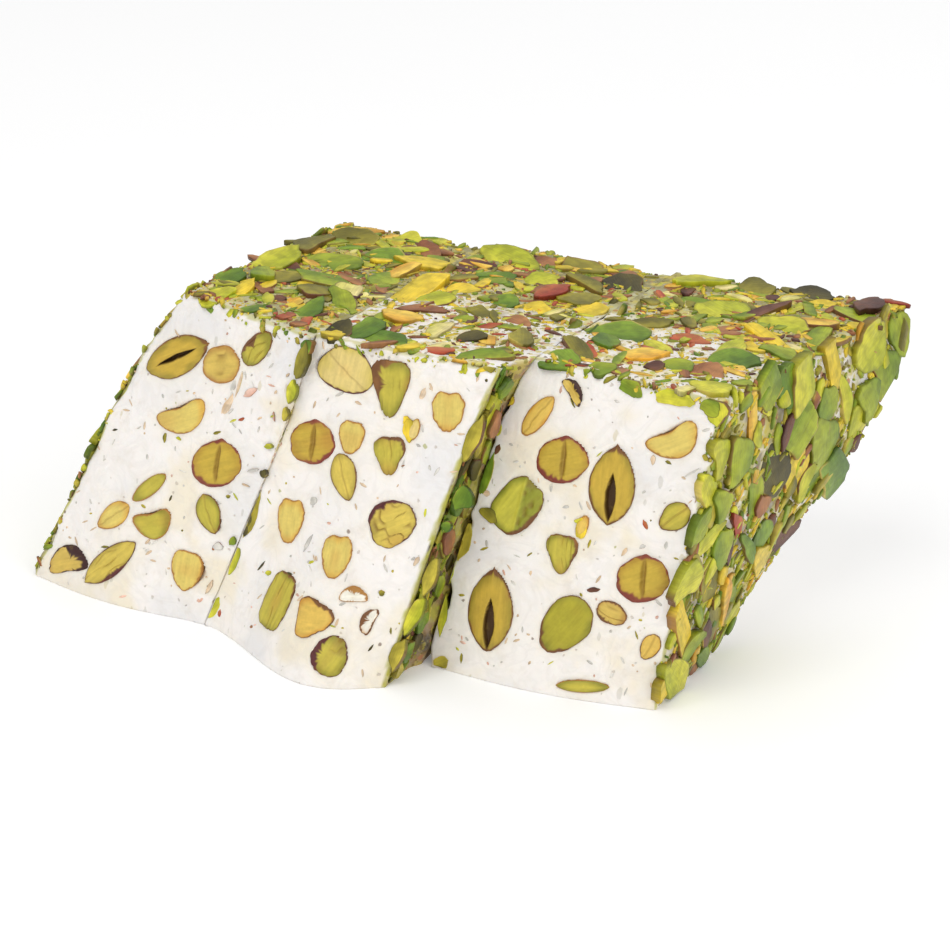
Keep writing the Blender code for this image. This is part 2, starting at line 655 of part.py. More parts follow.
def main():
    """Clears the scene and builds the three bars."""
    for old in list(bpy.data.objects):
        bpy.data.objects.remove(old)
    sweet = new_collection("pistachio_turkish_delight")
    work = new_collection("cutters_and_slivers")
    nougat = new_material("white_nougat", NOUGAT_WHITE, 0.6)
    coat = new_material("pistachio_coat", PISTACHIO_GREEN, 0.5)
    flesh = {name: new_material(f"kernel_{name}", colour, 0.5)
             for name, colour in KERNEL_COLOURS.items()}
    for index in range(len(BARS)):
        build_bar(index, sweet, work, [nougat, coat], flesh)
    bpy.data.collections.remove(work)


main()
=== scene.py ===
"""Looks of a block of pistachio Turkish delight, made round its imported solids.

Three bars of white nougat lie side by side, each with a coat of sliced pistachio on its top and
sides and with whole kernels that the knife has cut through in front and behind.

Tables and points are in millimetres until they go into a mesh. A place in a bar is given by three
fractions: u from its left side to its right side, v from the cut face in front to the one behind,
and w from the underside to the top. A place on one face is given by two of them, a and b.
"""

import itertools
import logging
import math
from dataclasses import dataclass
from enum import Enum

import bpy
import numpy as np
from mathutils import Matrix


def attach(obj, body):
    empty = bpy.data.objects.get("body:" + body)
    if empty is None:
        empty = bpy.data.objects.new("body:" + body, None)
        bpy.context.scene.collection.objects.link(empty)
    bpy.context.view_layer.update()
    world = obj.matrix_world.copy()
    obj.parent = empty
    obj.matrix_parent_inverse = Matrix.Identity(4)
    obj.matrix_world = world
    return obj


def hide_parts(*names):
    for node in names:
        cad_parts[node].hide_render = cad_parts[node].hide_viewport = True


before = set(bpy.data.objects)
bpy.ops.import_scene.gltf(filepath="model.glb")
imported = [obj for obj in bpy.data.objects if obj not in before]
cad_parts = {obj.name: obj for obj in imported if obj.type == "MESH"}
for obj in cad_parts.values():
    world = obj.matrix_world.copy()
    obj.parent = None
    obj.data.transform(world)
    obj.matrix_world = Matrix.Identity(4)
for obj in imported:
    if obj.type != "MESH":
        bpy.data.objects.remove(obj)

Array = np.ndarray
Colour = tuple[float, float, float]
Socket = bpy.types.NodeSocket
Tree = bpy.types.NodeTree
Material = bpy.types.Material

MM = 0.001
BUMP_STRENGTH = 0.6
BODY = "root"
log = logging.getLogger("turkish_delight")


# -------- Colours


def screen(red: int, green: int, blue: int) -> Colour:
    """A colour given as on a screen, from 0 to 255.

    Args:
        red, green, blue: the screen values.

    Returns:
        The linear values that a shader reads, by the sRGB curve.
    """
    value = np.array([red, green, blue]) / 255.0
    linear = np.where(value <= 0.04045, value / 12.92, ((value + 0.055) / 1.055) ** 2.4)
    return tuple(linear.tolist())


def pair(*values: int) -> tuple[Colour, Colour]:
    """Two colours given as on a screen, by six values."""
    return screen(*values[:3]), screen(*values[3:])


class Nut(Enum):
    """Colours of sliced and chopped pistachio: the body of a slice and its far side."""

    EMERALD = pair(84, 114, 28, 122, 148, 36)
    LEAF = pair(112, 134, 30, 156, 166, 40)
    LIME = pair(170, 174, 38, 202, 196, 56)
    OLIVE = pair(104, 98, 30, 148, 138, 42)
    MOSS = pair(150, 138, 42, 192, 176, 62)
    YELLOW = pair(228, 196, 52, 208, 184, 52)
    GOLD = pair(210, 154, 46, 228, 192, 78)
    PALE = pair(232, 216, 150, 208, 200, 108)
    BROWN = pair(132, 80, 50, 172, 118, 72)
    RED = pair(164, 62, 40, 184, 104, 60)
    PURPLE = pair(80, 44, 36, 112, 70, 50)
    DARK = pair(56, 50, 20, 88, 80, 32)
    TAN = pair(216, 194, 166, 204, 176, 142)
    ROSE = pair(226, 190, 172, 210, 160, 138)
    GREY = pair(212, 208, 200, 194, 190, 180)


EMERALD, LEAF, LIME, OLIVE, MOSS, YELLOW, GOLD, PALE, BROWN, RED, *OTHERS = Nut
PURPLE, DARK, TAN, ROSE, GREY = OTHERS


class Flesh(Enum):
    """Colours of a cut kernel: the middle of the cut and its edge."""

    OLIVE = pair(198, 166, 62, 156, 136, 50)
    GOLDEN_OLIVE = pair(194, 165, 61, 178, 142, 52)
    STRAW = pair(212, 188, 84, 168, 148, 62)
    SAND = pair(213, 183, 90, 190, 148, 74)
    IVORY = pair(219, 196, 104, 214, 172, 78)
    CREAM = pair(221, 198, 123, 206, 186, 88)
    GOLD = pair(224, 188, 90, 204, 148, 60)
    GREEN = pair(192, 178, 68, 142, 136, 46)
    FRESH = pair(200, 192, 70, 130, 136, 42)
    MOSS = pair(172, 162, 48, 130, 126, 42)
    HOLLOW = pair(240, 236, 222, 206, 160, 104)


class Skin(Enum):
    """Colours of the thin skin round a kernel."""

    PURPLE = screen(92, 46, 46)
    BROWN = screen(116, 76, 44)
    GOLDEN = screen(172, 122, 58)
    RED = screen(128, 58, 48)
    DARK = screen(62, 36, 34)


SLICE_SKINS = (screen(112, 64, 52), screen(152, 104, 60), screen(204, 182, 92), screen(124, 96, 48))
NOUGAT = screen(245, 240, 235)
NOUGAT_COOL = screen(232, 230, 229)
NOUGAT_WARM = screen(240, 230, 208)
CRUST = screen(240, 228, 210)
CRUST_YELLOW = screen(216, 202, 112)
CRUST_GREEN = screen(176, 172, 66)
# This dark olive is the coat's colour on top, and on an open side partly painted shade too.
CRUST_OLIVE = screen(98, 84, 34)
RIM_GREEN = screen(186, 184, 72)
# The brown in a joint is partly the coat's colour and partly painted shade; the dark after it is
# painted shade.
GAP_BROWN = screen(146, 112, 58)
GAP_SHADE = screen(44, 36, 16)
SLIT_DARK = screen(74, 50, 22)
CRACK_BROWN = screen(122, 86, 36)
BLUSH = screen(196, 136, 62)


# -------- Arithmetic on arrays


def blend(start, end, t):
    """A value, or arrays of them, a fraction t of the way from start to end."""
    return start * (1.0 - t) + end * t


def ease(low: float, high: float, value: Array) -> Array:
    """0 below low and 1 above high, with a smooth cubic step between them."""
    t = np.clip((value - low) / (high - low), 0.0, 1.0)
    return t * t * (3.0 - 2.0 * t)


def paint(colours: Array, colour, share: Array) -> Array:
    """Colours moved towards one colour, or a colour each, by a share for each point."""
    return blend(colours, np.asarray(colour), np.asarray(share)[..., None])


def cell_value(cell: Array, seed: int) -> Array:
    """A repeatable value from 0 to 1 for every cell, mixed from its whole-number place."""
    mixed = cell[..., 0] * 73856093 ^ cell[..., 1] * 19349663 ^ cell[..., 2] * 83492791
    mixed = mixed ^ (seed * 2654435761)
    mixed = (mixed ^ (mixed >> 13)) * 1274126177
    return ((mixed ^ (mixed >> 16)) & 0xFFFFFF) / float(0xFFFFFF)


def noise(points: Array, size: float, seed: int) -> Array:
    """Smooth noise from -1 to 1.

    Args:
        points: places, with three numbers in the last axis.
        size: the step of a lattice of random values, in the points' own unit.
        seed: which noise it is.

    Returns:
        For each point the eased mean of the values at the eight corners round it.
    """
    scaled = np.asarray(points) / size
    cell = np.floor(scaled).astype(np.int64)
    part = ease(0.0, 1.0, scaled - cell)
    total = np.zeros(scaled.shape[:-1])
    for corner in itertools.product((0, 1), repeat=3):
        weight = np.prod(np.where(np.array(corner) == 1, part, 1.0 - part), axis=-1)
        total += weight * cell_value(cell + np.array(corner), seed)
    return 2.0 * total - 1.0


def flat_noise(x: Array, y: Array, size: float, seed: int) -> Array:
    """Smooth noise from -1 to 1 in a plane."""
    return noise(np.stack([x, y, np.full_like(x, 0.37 * size)], axis=-1), size, seed)


# -------- Bars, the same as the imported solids


class Face(Enum):
    """The faces of a bar that carry something."""

    TOP = "top"
    LEFT = "left"
    RIGHT = "right"
    FRONT = "front"
    BACK = "back"


HEIGHT = 50.0
BLOCK_MIDDLE = (8.4, 22.8)
BACK_RISE_POWER = 0.8
NEIGHBOUR_GAP = 0.35
JOINT_SHARE = (0.85, 0.45)
FLOOR_CLEARANCE = 0.4


@dataclass(frozen=True)
class BarShape:
    """One bar: the corners of its cut face as (x, y), and how its sides and back run."""

    name: str
    foot: tuple
    head: tuple
    swell: tuple
    back: tuple
    flare: tuple
    bow: tuple
    open_sides: tuple
    bow_power: tuple = (4, 4)
    belly: tuple = (0.0, 1.0)

    def side_x(self, side: int, w: Array) -> Array:
        """X of a side's front edge: a straight lean and a bow that dies out at the top corner."""
        straight = blend(self.foot[side][0], self.head[side][0], w)
        fade = 1.0 - np.clip(w, 0.0, 1.0) ** self.bow_power[side]
        return straight + (1.0 if side else -1.0) * self.bow[side] * w * fade

    def cut_y(self, u: Array, w: Array) -> Array:
        """Y of the front cut face: corner to corner, less a swell that falls off with height."""
        foot = blend(self.foot[0][1], self.foot[1][1], u)
        head = blend(self.head[0][1], self.head[1][1], u)
        depth, lean = self.swell
        belly = np.sin(math.pi * np.clip(u, 0.0, 1.0) ** lean)
        return blend(foot, head, w) - depth * belly * (1.0 - w) ** 2

    def back_y(self, u: Array, w: Array) -> Array:
        """Y of the cut face behind, which slants outward from the underside to the top."""
        foot, left, right = self.back
        rise = np.clip(w, 0.0, None) ** BACK_RISE_POWER
        return blend(foot, blend(left, right, u), rise)

    def point(self, u: Array, v: Array, w: Array) -> Array:
        """The places of the fractions u, v and w, in millimetres.

        The right side bellies out towards the back, as a half sine of a power of the height.
        """
        front = self.cut_y(u, w)
        depth = (self.back_y(u, w) - front) * v
        flare = blend(*self.flare, u) * w * depth
        amount, lean = self.belly
        belly = amount * u * v * np.sin(math.pi * np.clip(w, 0.0, 1.0) ** lean)
        x = blend(self.side_x(0, w), self.side_x(1, w), u) + flare + belly
        return np.stack([x - BLOCK_MIDDLE[0], front + depth - BLOCK_MIDDLE[1], HEIGHT * w], axis=-1)

    def face_point(self, face: Face, a: Array, b: Array) -> Array:
        """Places on one face by its two fractions."""
        low, high = np.zeros_like(a), np.ones_like(a)
        places = {
            Face.TOP: (a, b, high),
            Face.LEFT: (low, a, b),
            Face.RIGHT: (high, a, b),
            Face.FRONT: (a, low, b),
            Face.BACK: (a, high, b),
        }
        return self.point(*places[face])

    def face_frame(self, face: Face, a: Array, b: Array) -> tuple[Array, Array]:
        """How a face lies at some places.

        Args:
            face: which face.
            a, b: the places' fractions, one of each for every place.

        Returns:
            The outward normals, from the cross product of the slopes along a and b, and the
            slopes as matrices that turn fractions into millimetres on the face.
        """
        step = 0.001
        here = self.face_point(face, a, b)
        along = (self.face_point(face, a + step, b) - here) / step
        across = (self.face_point(face, a, b + step) - here) / step
        first = along / np.linalg.norm(along, axis=-1, keepdims=True)
        normal = np.cross(along, across)
        normal = normal / np.linalg.norm(normal, axis=-1, keepdims=True)
        second = np.cross(normal, first)
        rows = [[(along * first).sum(-1), (across * first).sum(-1)],
                [(along * second).sum(-1), (across * second).sum(-1)]]
        slopes = np.moveaxis(np.array(rows), (0, 1), (-2, -1))
        return (-normal if face in (Face.LEFT, Face.BACK) else normal), slopes

    def side_at(self, side: int, y: Array, w: Array) -> Array:
        """X of a side's surface at a world y and a height fraction."""
        corner = self.cut_y(float(side), w) - BLOCK_MIDDLE[1]
        return self.side_x(side, w) - BLOCK_MIDDLE[0] + self.flare[side] * w * (y - corner)

    def width(self, w: float) -> float:
        """The width of the cut face at a height fraction."""
        return float(self.side_x(1, w) - self.side_x(0, w))


BARS = (
    BarShape("left", foot=((-54.6, -1.8), (-23.6, -5.4)), head=((-33.0, 8.6), (-7.6, -0.4)),
             swell=(2.2, 1.0), back=(38.0, 53.0, 53.0), flare=(0.15, 0.11), bow=(3.4, 0.8),
             open_sides=(True, False)),
    BarShape("middle", foot=((-20.7, -5.6), (14.0, -12.6)), head=((-5.2, 1.2), (24.6, 1.8)),
             swell=(8.2, 1.5), back=(38.0, 56.5, 56.5), flare=(0.11, 0.08), bow=(-0.8, -1.8),
             open_sides=(False, False)),
    BarShape("right", foot=((18.0, -2.0), (53.8, 0.6)), head=((29.0, 9.6), (59.0, 6.0)),
             swell=(2.0, 1.0), back=(26.0, 58.5, 63.7), flare=(0.08, 0.175), bow=(4.2, 0.0),
             bow_power=(10, 4), belly=(5.2, 1.75), open_sides=(False, True)),
)


def crust_height(points: Array) -> Array:
    """How far the coated nougat stands out at some places, in millimetres: two sizes of noise."""
    return 0.30 * noise(points, 3.2, 43) + 0.15 * noise(points, 1.3, 44)


def cut_height(points: Array) -> Array:
    """How far a cut face stands out at some places: long waves and short ripples."""
    return 0.22 * noise(points * np.array([1.0, 1.0, 0.7]), 13.0, 41) + 0.08 * noise(points, 2.6, 42)


def joint_room(joint: int, y: Array, w: Array) -> tuple[Array, Array, Array]:
    """X of the left bar's side, of the surface where two bars meet, and of the right bar's side.

    The surface lies at a share of the way across the joint, which is the middle at the top.
    """
    left = BARS[joint].side_at(1, y, w)
    right = BARS[joint + 1].side_at(0, y, w)
    return left, blend(left, right, blend(JOINT_SHARE[joint], 0.5, ease(0.7, 0.95, w))), right


def behind_cut(index: int, u: float, y: Array, w: Array) -> Array:
    """How far places lie behind the front edge that a bar has on one side, in millimetres."""
    return y - (BARS[index].cut_y(u, w) - BLOCK_MIDDLE[1])


def keep_to_own_half(index: int, points: Array, gap: float = NEIGHBOUR_GAP) -> Array:
    """Holds a bar's pistachios off the floor and off the bars beside it.

    Args:
        index: the bar's number.
        points: rows of places.
        gap: how wide a gap stays open in a joint.

    Returns:
        The places, none under the clearance and none past where two bars meet.
    """
    points = points.copy()
    points[:, 2] = np.maximum(points[:, 2], FLOOR_CLEARANCE)
    y, w = points[:, 1], np.clip(points[:, 2] / HEIGHT, 0.0, 1.0)
    for side, furthest in enumerate((np.maximum, np.minimum)):
        neighbour = index - 1 + 2 * side
        if 0 <= neighbour < len(BARS):
            limit = joint_room(index - 1 + side, y, w)[1] + (0.5 - side) * gap
            is_beside = behind_cut(neighbour, 1.0 - side, y, w) > -0.5
            points[:, 0] = np.where(is_beside, furthest(points[:, 0], limit), points[:, 0])
    return points


# -------- Kernels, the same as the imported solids, with what shows on each cut


class Mark(Enum):
    """What a cut kernel shows besides its flesh and skin."""

    SLIT = "an open slit between the two halves"
    SEAM = "a fine groove from the edge to the middle"
    CRACKS = "short cracks every way"
    RIBS = "ridges along the kernel"
    VEIN = "one faint line along the kernel"
    HALVES = "a smooth half and a crumbly half either side of a pale ridge"
    PLAIN = "nothing"
    CURL = "the hollow of a curled skin"


@dataclass(frozen=True)
class Kind:
    """How a kind of kernel departs from an ellipse, and how it looks unless a kernel says so."""

    slot: str
    flesh: Flesh
    skin: Skin
    rim: float
    mark: Mark
    point: float = 0.0
    taper: float = 0.0
    bend: float = 0.0
    lobes: int = 3
    lobe_depth: float = 0.0
    notch: float = 0.0
    dimple: float = 0.0
    ragged: float = 1.0


@dataclass(frozen=True)
class Kernel:
    """One kernel: its kind, its place from the left edge and the floor, its size and turn.

    mark_turn is the direction of its mark, and mark_shift moves the mark along it, as a share of
    the length. thick is how much wider its skin is to one side, and the direction of that side.
    All directions are in degrees on the cut face.
    """

    kind: str
    across: float
    up: float
    length: float
    breadth: float
    turn: float
    flesh: Flesh | None = None
    skin: Skin | None = None
    mark: Mark | None = None
    mark_turn: float | None = None
    mark_shift: float = 0.0
    thick: tuple[float, float] = (0.25, -120.0)


KINDS = {
    "lens": Kind("olive", Flesh.OLIVE, Skin.BROWN, 0.30, Mark.SLIT, point=0.45, taper=-0.06),
    "round": Kind("olive", Flesh.GOLDEN_OLIVE, Skin.RED, 0.30, Mark.SEAM,
                  lobes=5, lobe_depth=0.015, ragged=1.9),
    "rough": Kind("olive", Flesh.STRAW, Skin.PURPLE, 0.34, Mark.CRACKS,
                  lobes=3, lobe_depth=0.05, ragged=2.0),
    "half": Kind("ivory", Flesh.CREAM, Skin.PURPLE, 0.28, Mark.VEIN,
                 lobes=3, lobe_depth=0.07, notch=0.10),
    "bean": Kind("ivory", Flesh.IVORY, Skin.GOLDEN, 0.30, Mark.PLAIN, bend=-0.28, taper=0.22,
                 dimple=0.26),
    "tooth": Kind("ivory", Flesh.IVORY, Skin.GOLDEN, 0.34, Mark.PLAIN, taper=0.22, notch=0.16,
                  ragged=2.4),
    "leaf": Kind("green", Flesh.GREEN, Skin.BROWN, 0.18, Mark.VEIN, point=0.35, taper=0.18),
    "sliver": Kind("green", Flesh.GREEN, Skin.GOLDEN, 0.16, Mark.PLAIN, point=0.20),
    "wedge": Kind("green", Flesh.GREEN, Skin.BROWN, 0.20, Mark.RIBS, lobes=3, lobe_depth=0.16,
                  ragged=2.0),
    "shard": Kind("green", Flesh.GREEN, Skin.BROWN, 0.28, Mark.RIBS,
                  lobes=3, lobe_depth=0.10, taper=0.30, ragged=2.2),
    "block": Kind("green", Flesh.FRESH, Skin.BROWN, 0.20, Mark.RIBS,
                  lobes=4, lobe_depth=-0.06, ragged=1.8),
    "pear": Kind("green", Flesh.MOSS, Skin.BROWN, 0.24, Mark.PLAIN,
                 lobes=3, lobe_depth=0.03, taper=0.30, ragged=1.6),
    "skin": Kind("skin", Flesh.HOLLOW, Skin.DARK, 0.55, Mark.CURL, bend=0.30, ragged=2.4),
}

FRONT_KERNELS = {
    "left": (
        Kernel("lens", 6.5, 40.1, 13.6, 6.4, 32, mark_turn=34, thick=(0.2, 120)),
        Kernel("round", 14.9, 41.2, 7.6, 6.0, 16, Flesh.SAND, Skin.GOLDEN, Mark.CRACKS,
               thick=(0.3, -120)),
        Kernel("shard", 19.1, 45.2, 7.4, 4.2, 50, thick=(1.5, 150)),
        Kernel("bean", 13.0, 31.7, 10.0, 4.6, 27),
        Kernel("round", 23.2, 26.1, 9.4, 7.3, 26, mark_turn=91, thick=(1.0, -110)),
        Kernel("sliver", 13.7, 19.4, 7.8, 2.7, 45),
        Kernel("leaf", 9.7, 13.3, 7.4, 3.8, 42, Flesh.IVORY, Skin.GOLDEN),
        Kernel("bean", 17.0, 14.4, 7.6, 4.5, 19, Flesh.GREEN, thick=(0.4, -150)),
        Kernel("leaf", 26.0, 18.0, 6.6, 4.4, 118),
        Kernel("tooth", 26.5, 8.3, 7.0, 5.5, 85),
        Kernel("skin", 5.5, 3.9, 8.6, 4.4, 22, Flesh.SAND, thick=(2.6, 50)),
        Kernel("lens", 13.1, 6.2, 12.2, 4.6, 46, Flesh.STRAW, Skin.PURPLE, Mark.RIBS,
               thick=(1.0, -50)),
    ),
    "middle": (
        Kernel("half", 5.6, 45.3, 7.4, 9.4, 85, mark_turn=-35, thick=(0.35, -95)),
        Kernel("wedge", 13.6, 44.5, 8.8, 6.0, -84, thick=(2.4, 165)),
        Kernel("tooth", 24.3, 42.4, 6.3, 5.3, 96),
        Kernel("round", 4.9, 33.1, 8.0, 6.7, 20, mark_turn=93, thick=(0.7, -50)),
        Kernel("tooth", 10.9, 35.5, 5.6, 4.4, 90),
        Kernel("wedge", 18.2, 34.5, 5.8, 5.0, -79, thick=(0.5, 70)),
        Kernel("sliver", 20.4, 38.7, 3.4, 1.8, 83, Flesh.CREAM),
        Kernel("leaf", 12.7, 29.4, 7.6, 4.6, 120, Flesh.STRAW),
        Kernel("tooth", 6.9, 20.7, 7.2, 5.4, 97),
        Kernel("rough", 23.8, 24.7, 8.0, 7.1, 30, thick=(0.8, 140)),
        Kernel("tooth", 17.7, 18.2, 7.2, 5.5, 97),
        Kernel("block", 11.3, 8.9, 10.2, 6.5, 84, Flesh.GREEN, thick=(0.3, 60)),
        Kernel("wedge", 19.0, 9.0, 7.0, 6.2, 14, Flesh.GOLD, mark=Mark.PLAIN, thick=(0.5, 60)),
        Kernel("skin", 23.7, 13.4, 4.8, 2.4, 9, skin=Skin.GOLDEN, thick=(1.5, 75)),
        Kernel("skin", 28.0, 10.2, 4.4, 2.2, 68, skin=Skin.BROWN, thick=(1.3, 160)),
        Kernel("rough", 25.0, 4.6, 6.6, 5.8, 64, Flesh.GREEN, thick=(1.8, 170)),
    ),
    "right": (
        Kernel("sliver", 4.6, 41.4, 8.0, 3.3, 59, Flesh.GOLD, mark=Mark.VEIN),
        Kernel("skin", 8.0, 46.2, 5.0, 2.2, -45, Flesh.SAND, thick=(0.9, 45)),
        Kernel("round", 11.0, 35.7, 8.8, 7.1, 22, mark_turn=93, thick=(1.0, -110)),
        Kernel("bean", 27.1, 42.6, 9.2, 4.6, 31),
        Kernel("lens", 20.1, 33.6, 12.4, 7.6, 91, mark_shift=-0.15),
        Kernel("block", 5.8, 27.3, 9.8, 7.6, 58, mark=Mark.HALVES, mark_turn=84, thick=(0.8, -50)),
        Kernel("leaf", 31.2, 30.9, 6.0, 4.1, 43),
        Kernel("wedge", 15.0, 22.0, 6.0, 5.0, -86, thick=(0.5, 20)),
        Kernel("sliver", 17.2, 26.6, 3.4, 1.9, 76, Flesh.GOLD),
        Kernel("round", 28.7, 20.4, 8.5, 7.1, 28, mark_turn=92, thick=(1.0, -110)),
        Kernel("lens", 6.2, 10.7, 13.2, 7.7, 94, mark_shift=-0.16),
        Kernel("pear", 18.6, 10.9, 10.4, 7.1, 56, thick=(0.8, -130)),
        Kernel("shard", 25.2, 14.3, 5.0, 3.7, -15, Flesh.SAND, thick=(0.6, -120)),
        Kernel("sliver", 24.0, 2.2, 8.5, 2.0, 7),
        Kernel("leaf", 32.6, 10.0, 4.6, 3.0, 65, Flesh.GOLD),
    ),
}

BACK_KERNELS = {
    "left": (
        Kernel("lens", 10.0, 38.0, 11.6, 6.2, 68),
        Kernel("round", 20.8, 30.0, 8.4, 7.0, 10, mark_turn=80),
        Kernel("tooth", 11.0, 19.5, 6.8, 5.4, 95),
        Kernel("leaf", 21.7, 10.5, 7.6, 4.4, -35),
    ),
    "middle": (
        Kernel("bean", 9.5, 41.0, 9.6, 4.6, 22),
        Kernel("round", 20.5, 34.0, 8.8, 7.2, 30, mark_turn=100),
        Kernel("block", 9.5, 23.0, 9.8, 7.0, 60),
        Kernel("lens", 22.0, 13.0, 12.0, 6.8, 84),
    ),
    "right": (
        Kernel("round", 10.0, 39.5, 8.6, 7.2, 14, mark_turn=70),
        Kernel("lens", 25.0, 35.0, 12.2, 7.0, 100),
        Kernel("tooth", 14.0, 21.5, 6.8, 5.6, 88),
        Kernel("wedge", 26.0, 13.0, 6.4, 5.2, -80),
    ),
}

KERNELS = {Face.FRONT: FRONT_KERNELS, Face.BACK: BACK_KERNELS}


def turned(flat: Array, degrees: float) -> Array:
    """Points of a plane turned about its origin."""
    turn = math.radians(degrees)
    return flat @ np.array([[math.cos(turn), math.sin(turn)], [-math.sin(turn), math.cos(turn)]])


def kernel_outline(kernel: Kernel, angle: Array) -> Array:
    """Points round a kernel, about its own place on the face.

    Args:
        kernel: the kernel.
        angle: where round it, in radians.

    Returns:
        For each angle a point of an ellipse that the kind points, tapers, notches, lobes and bends.
    """
    kind = KINDS[kernel.kind]
    ripple = 1.0 + kind.lobe_depth * np.cos(kind.lobes * angle)
    dent = kind.notch * np.exp(-((np.angle(np.exp(1j * angle)) / 0.4) ** 2))
    x = 0.5 * kernel.length * np.cos(angle) * ripple * (1.0 - dent)
    y = 0.5 * kernel.breadth * np.sin(angle) * np.abs(np.sin(angle)) ** kind.point * ripple
    y = y * (1.0 + kind.taper * np.cos(angle))
    y = y - kind.bend * kernel.breadth * (np.cos(angle) ** 2 - 0.5)
    return turned(np.stack([x, y], axis=-1), kernel.turn)


def kernel_spot(bar: BarShape, kernel: Kernel) -> tuple[float, float]:
    """A kernel's place on its cut face, as the face's two fractions."""
    up = kernel.up / HEIGHT
    return kernel.across / bar.width(up), up


# -------- Meshes


@dataclass
class Surface:
    """A mesh as arrays.

    points are places in millimetres, faces are arrays of point numbers, tint is a linear colour
    for each point, and grain is a place along and across the piece, for streaks. crust, where
    there is one, is how far each point is under the coat, from 0 to 1.
    """

    points: Array
    faces: list[Array]
    tint: Array
    grain: Array
    crust: Array | None = None

    @classmethod
    def joined(cls, parts: list["Surface"]) -> "Surface":
        """Several surfaces as one, their point numbers moved on."""
        starts = np.cumsum([0] + [len(part.points) for part in parts[:-1]])
        faces = [face + start for part, start in zip(parts, starts) for face in part.faces]
        return cls(np.concatenate([part.points for part in parts]), faces,
                   np.concatenate([part.tint for part in parts]),
                   np.concatenate([part.grain for part in parts]))

    def to_object(self, name: str, material: Material) -> bpy.types.Object:
        """Makes the mesh and its object, with the colours and the grain on it.

        Args:
            name: the piece's name.
            material: its finish.

        Returns:
            The object, at the origin and unturned.
        """
        mesh = bpy.data.meshes.new(name)
        faces = [row for block in self.faces for row in block.tolist()]
        mesh.from_pydata((self.points * MM).tolist(), [], faces)
        mesh.polygons.foreach_set("use_smooth", np.ones(len(faces), dtype=bool))
        tint = mesh.color_attributes.new("tint", "FLOAT_COLOR", "POINT")
        rgba = np.concatenate([np.clip(self.tint, 0.0, 1.0), np.ones((len(self.tint), 1))], axis=1)
        tint.data.foreach_set("color", rgba.astype(np.float32).ravel())
        if self.crust is not None:
            coated = mesh.attributes.new("crust", "FLOAT", "POINT")
            coated.data.foreach_set("value", self.crust.astype(np.float32))
        corners = np.empty(len(mesh.loops), dtype=np.int32)
        mesh.loops.foreach_get("vertex_index", corners)
        layer = mesh.uv_layers.new(name="grain")
        layer.data.foreach_set("uv", self.grain[corners].astype(np.float32).ravel())
        mesh.materials.append(material)
        mesh.update()
        made = bpy.data.objects.new(name, mesh)
        bpy.context.scene.collection.objects.link(made)
        return made


def put_on_part(made: bpy.types.Object, slot: str, nodes: tuple[str, ...]) -> None:
    """Makes a piece part of the block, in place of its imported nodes, and reports it."""
    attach(made, BODY)
    if nodes:
        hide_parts(*nodes)
    made.data.calc_loop_triangles()
    log.info("%s: %d triangles, slot %s", made.name, len(made.data.loop_triangles), slot)


def ring_faces(rings: int, sides: int) -> list[Array]:
    """Faces of a closed shape whose points are a pole, rings of points and the other pole.

    Args:
        rings: how many rings. They run anticlockwise as seen from the first pole.
        sides: points in a ring.

    Returns:
        The triangles at the first pole, the quads between rings and those at the last pole.
    """
    here = np.arange(sides)
    after = (here + 1) % sides
    last = 1 + rings * sides
    near = np.stack([np.zeros_like(here), 1 + here, 1 + after], axis=-1)
    start = 1 + np.arange(rings - 1)[:, None] * sides
    walls = np.stack([start + here, start + sides + here, start + sides + after, start + after],
                     axis=-1).reshape(-1, 4)
    far_ring = 1 + (rings - 1) * sides
    far = np.stack([np.full_like(here, last), far_ring + after, far_ring + here], axis=-1)
    return [near, walls, far]


# -------- Shader nodes


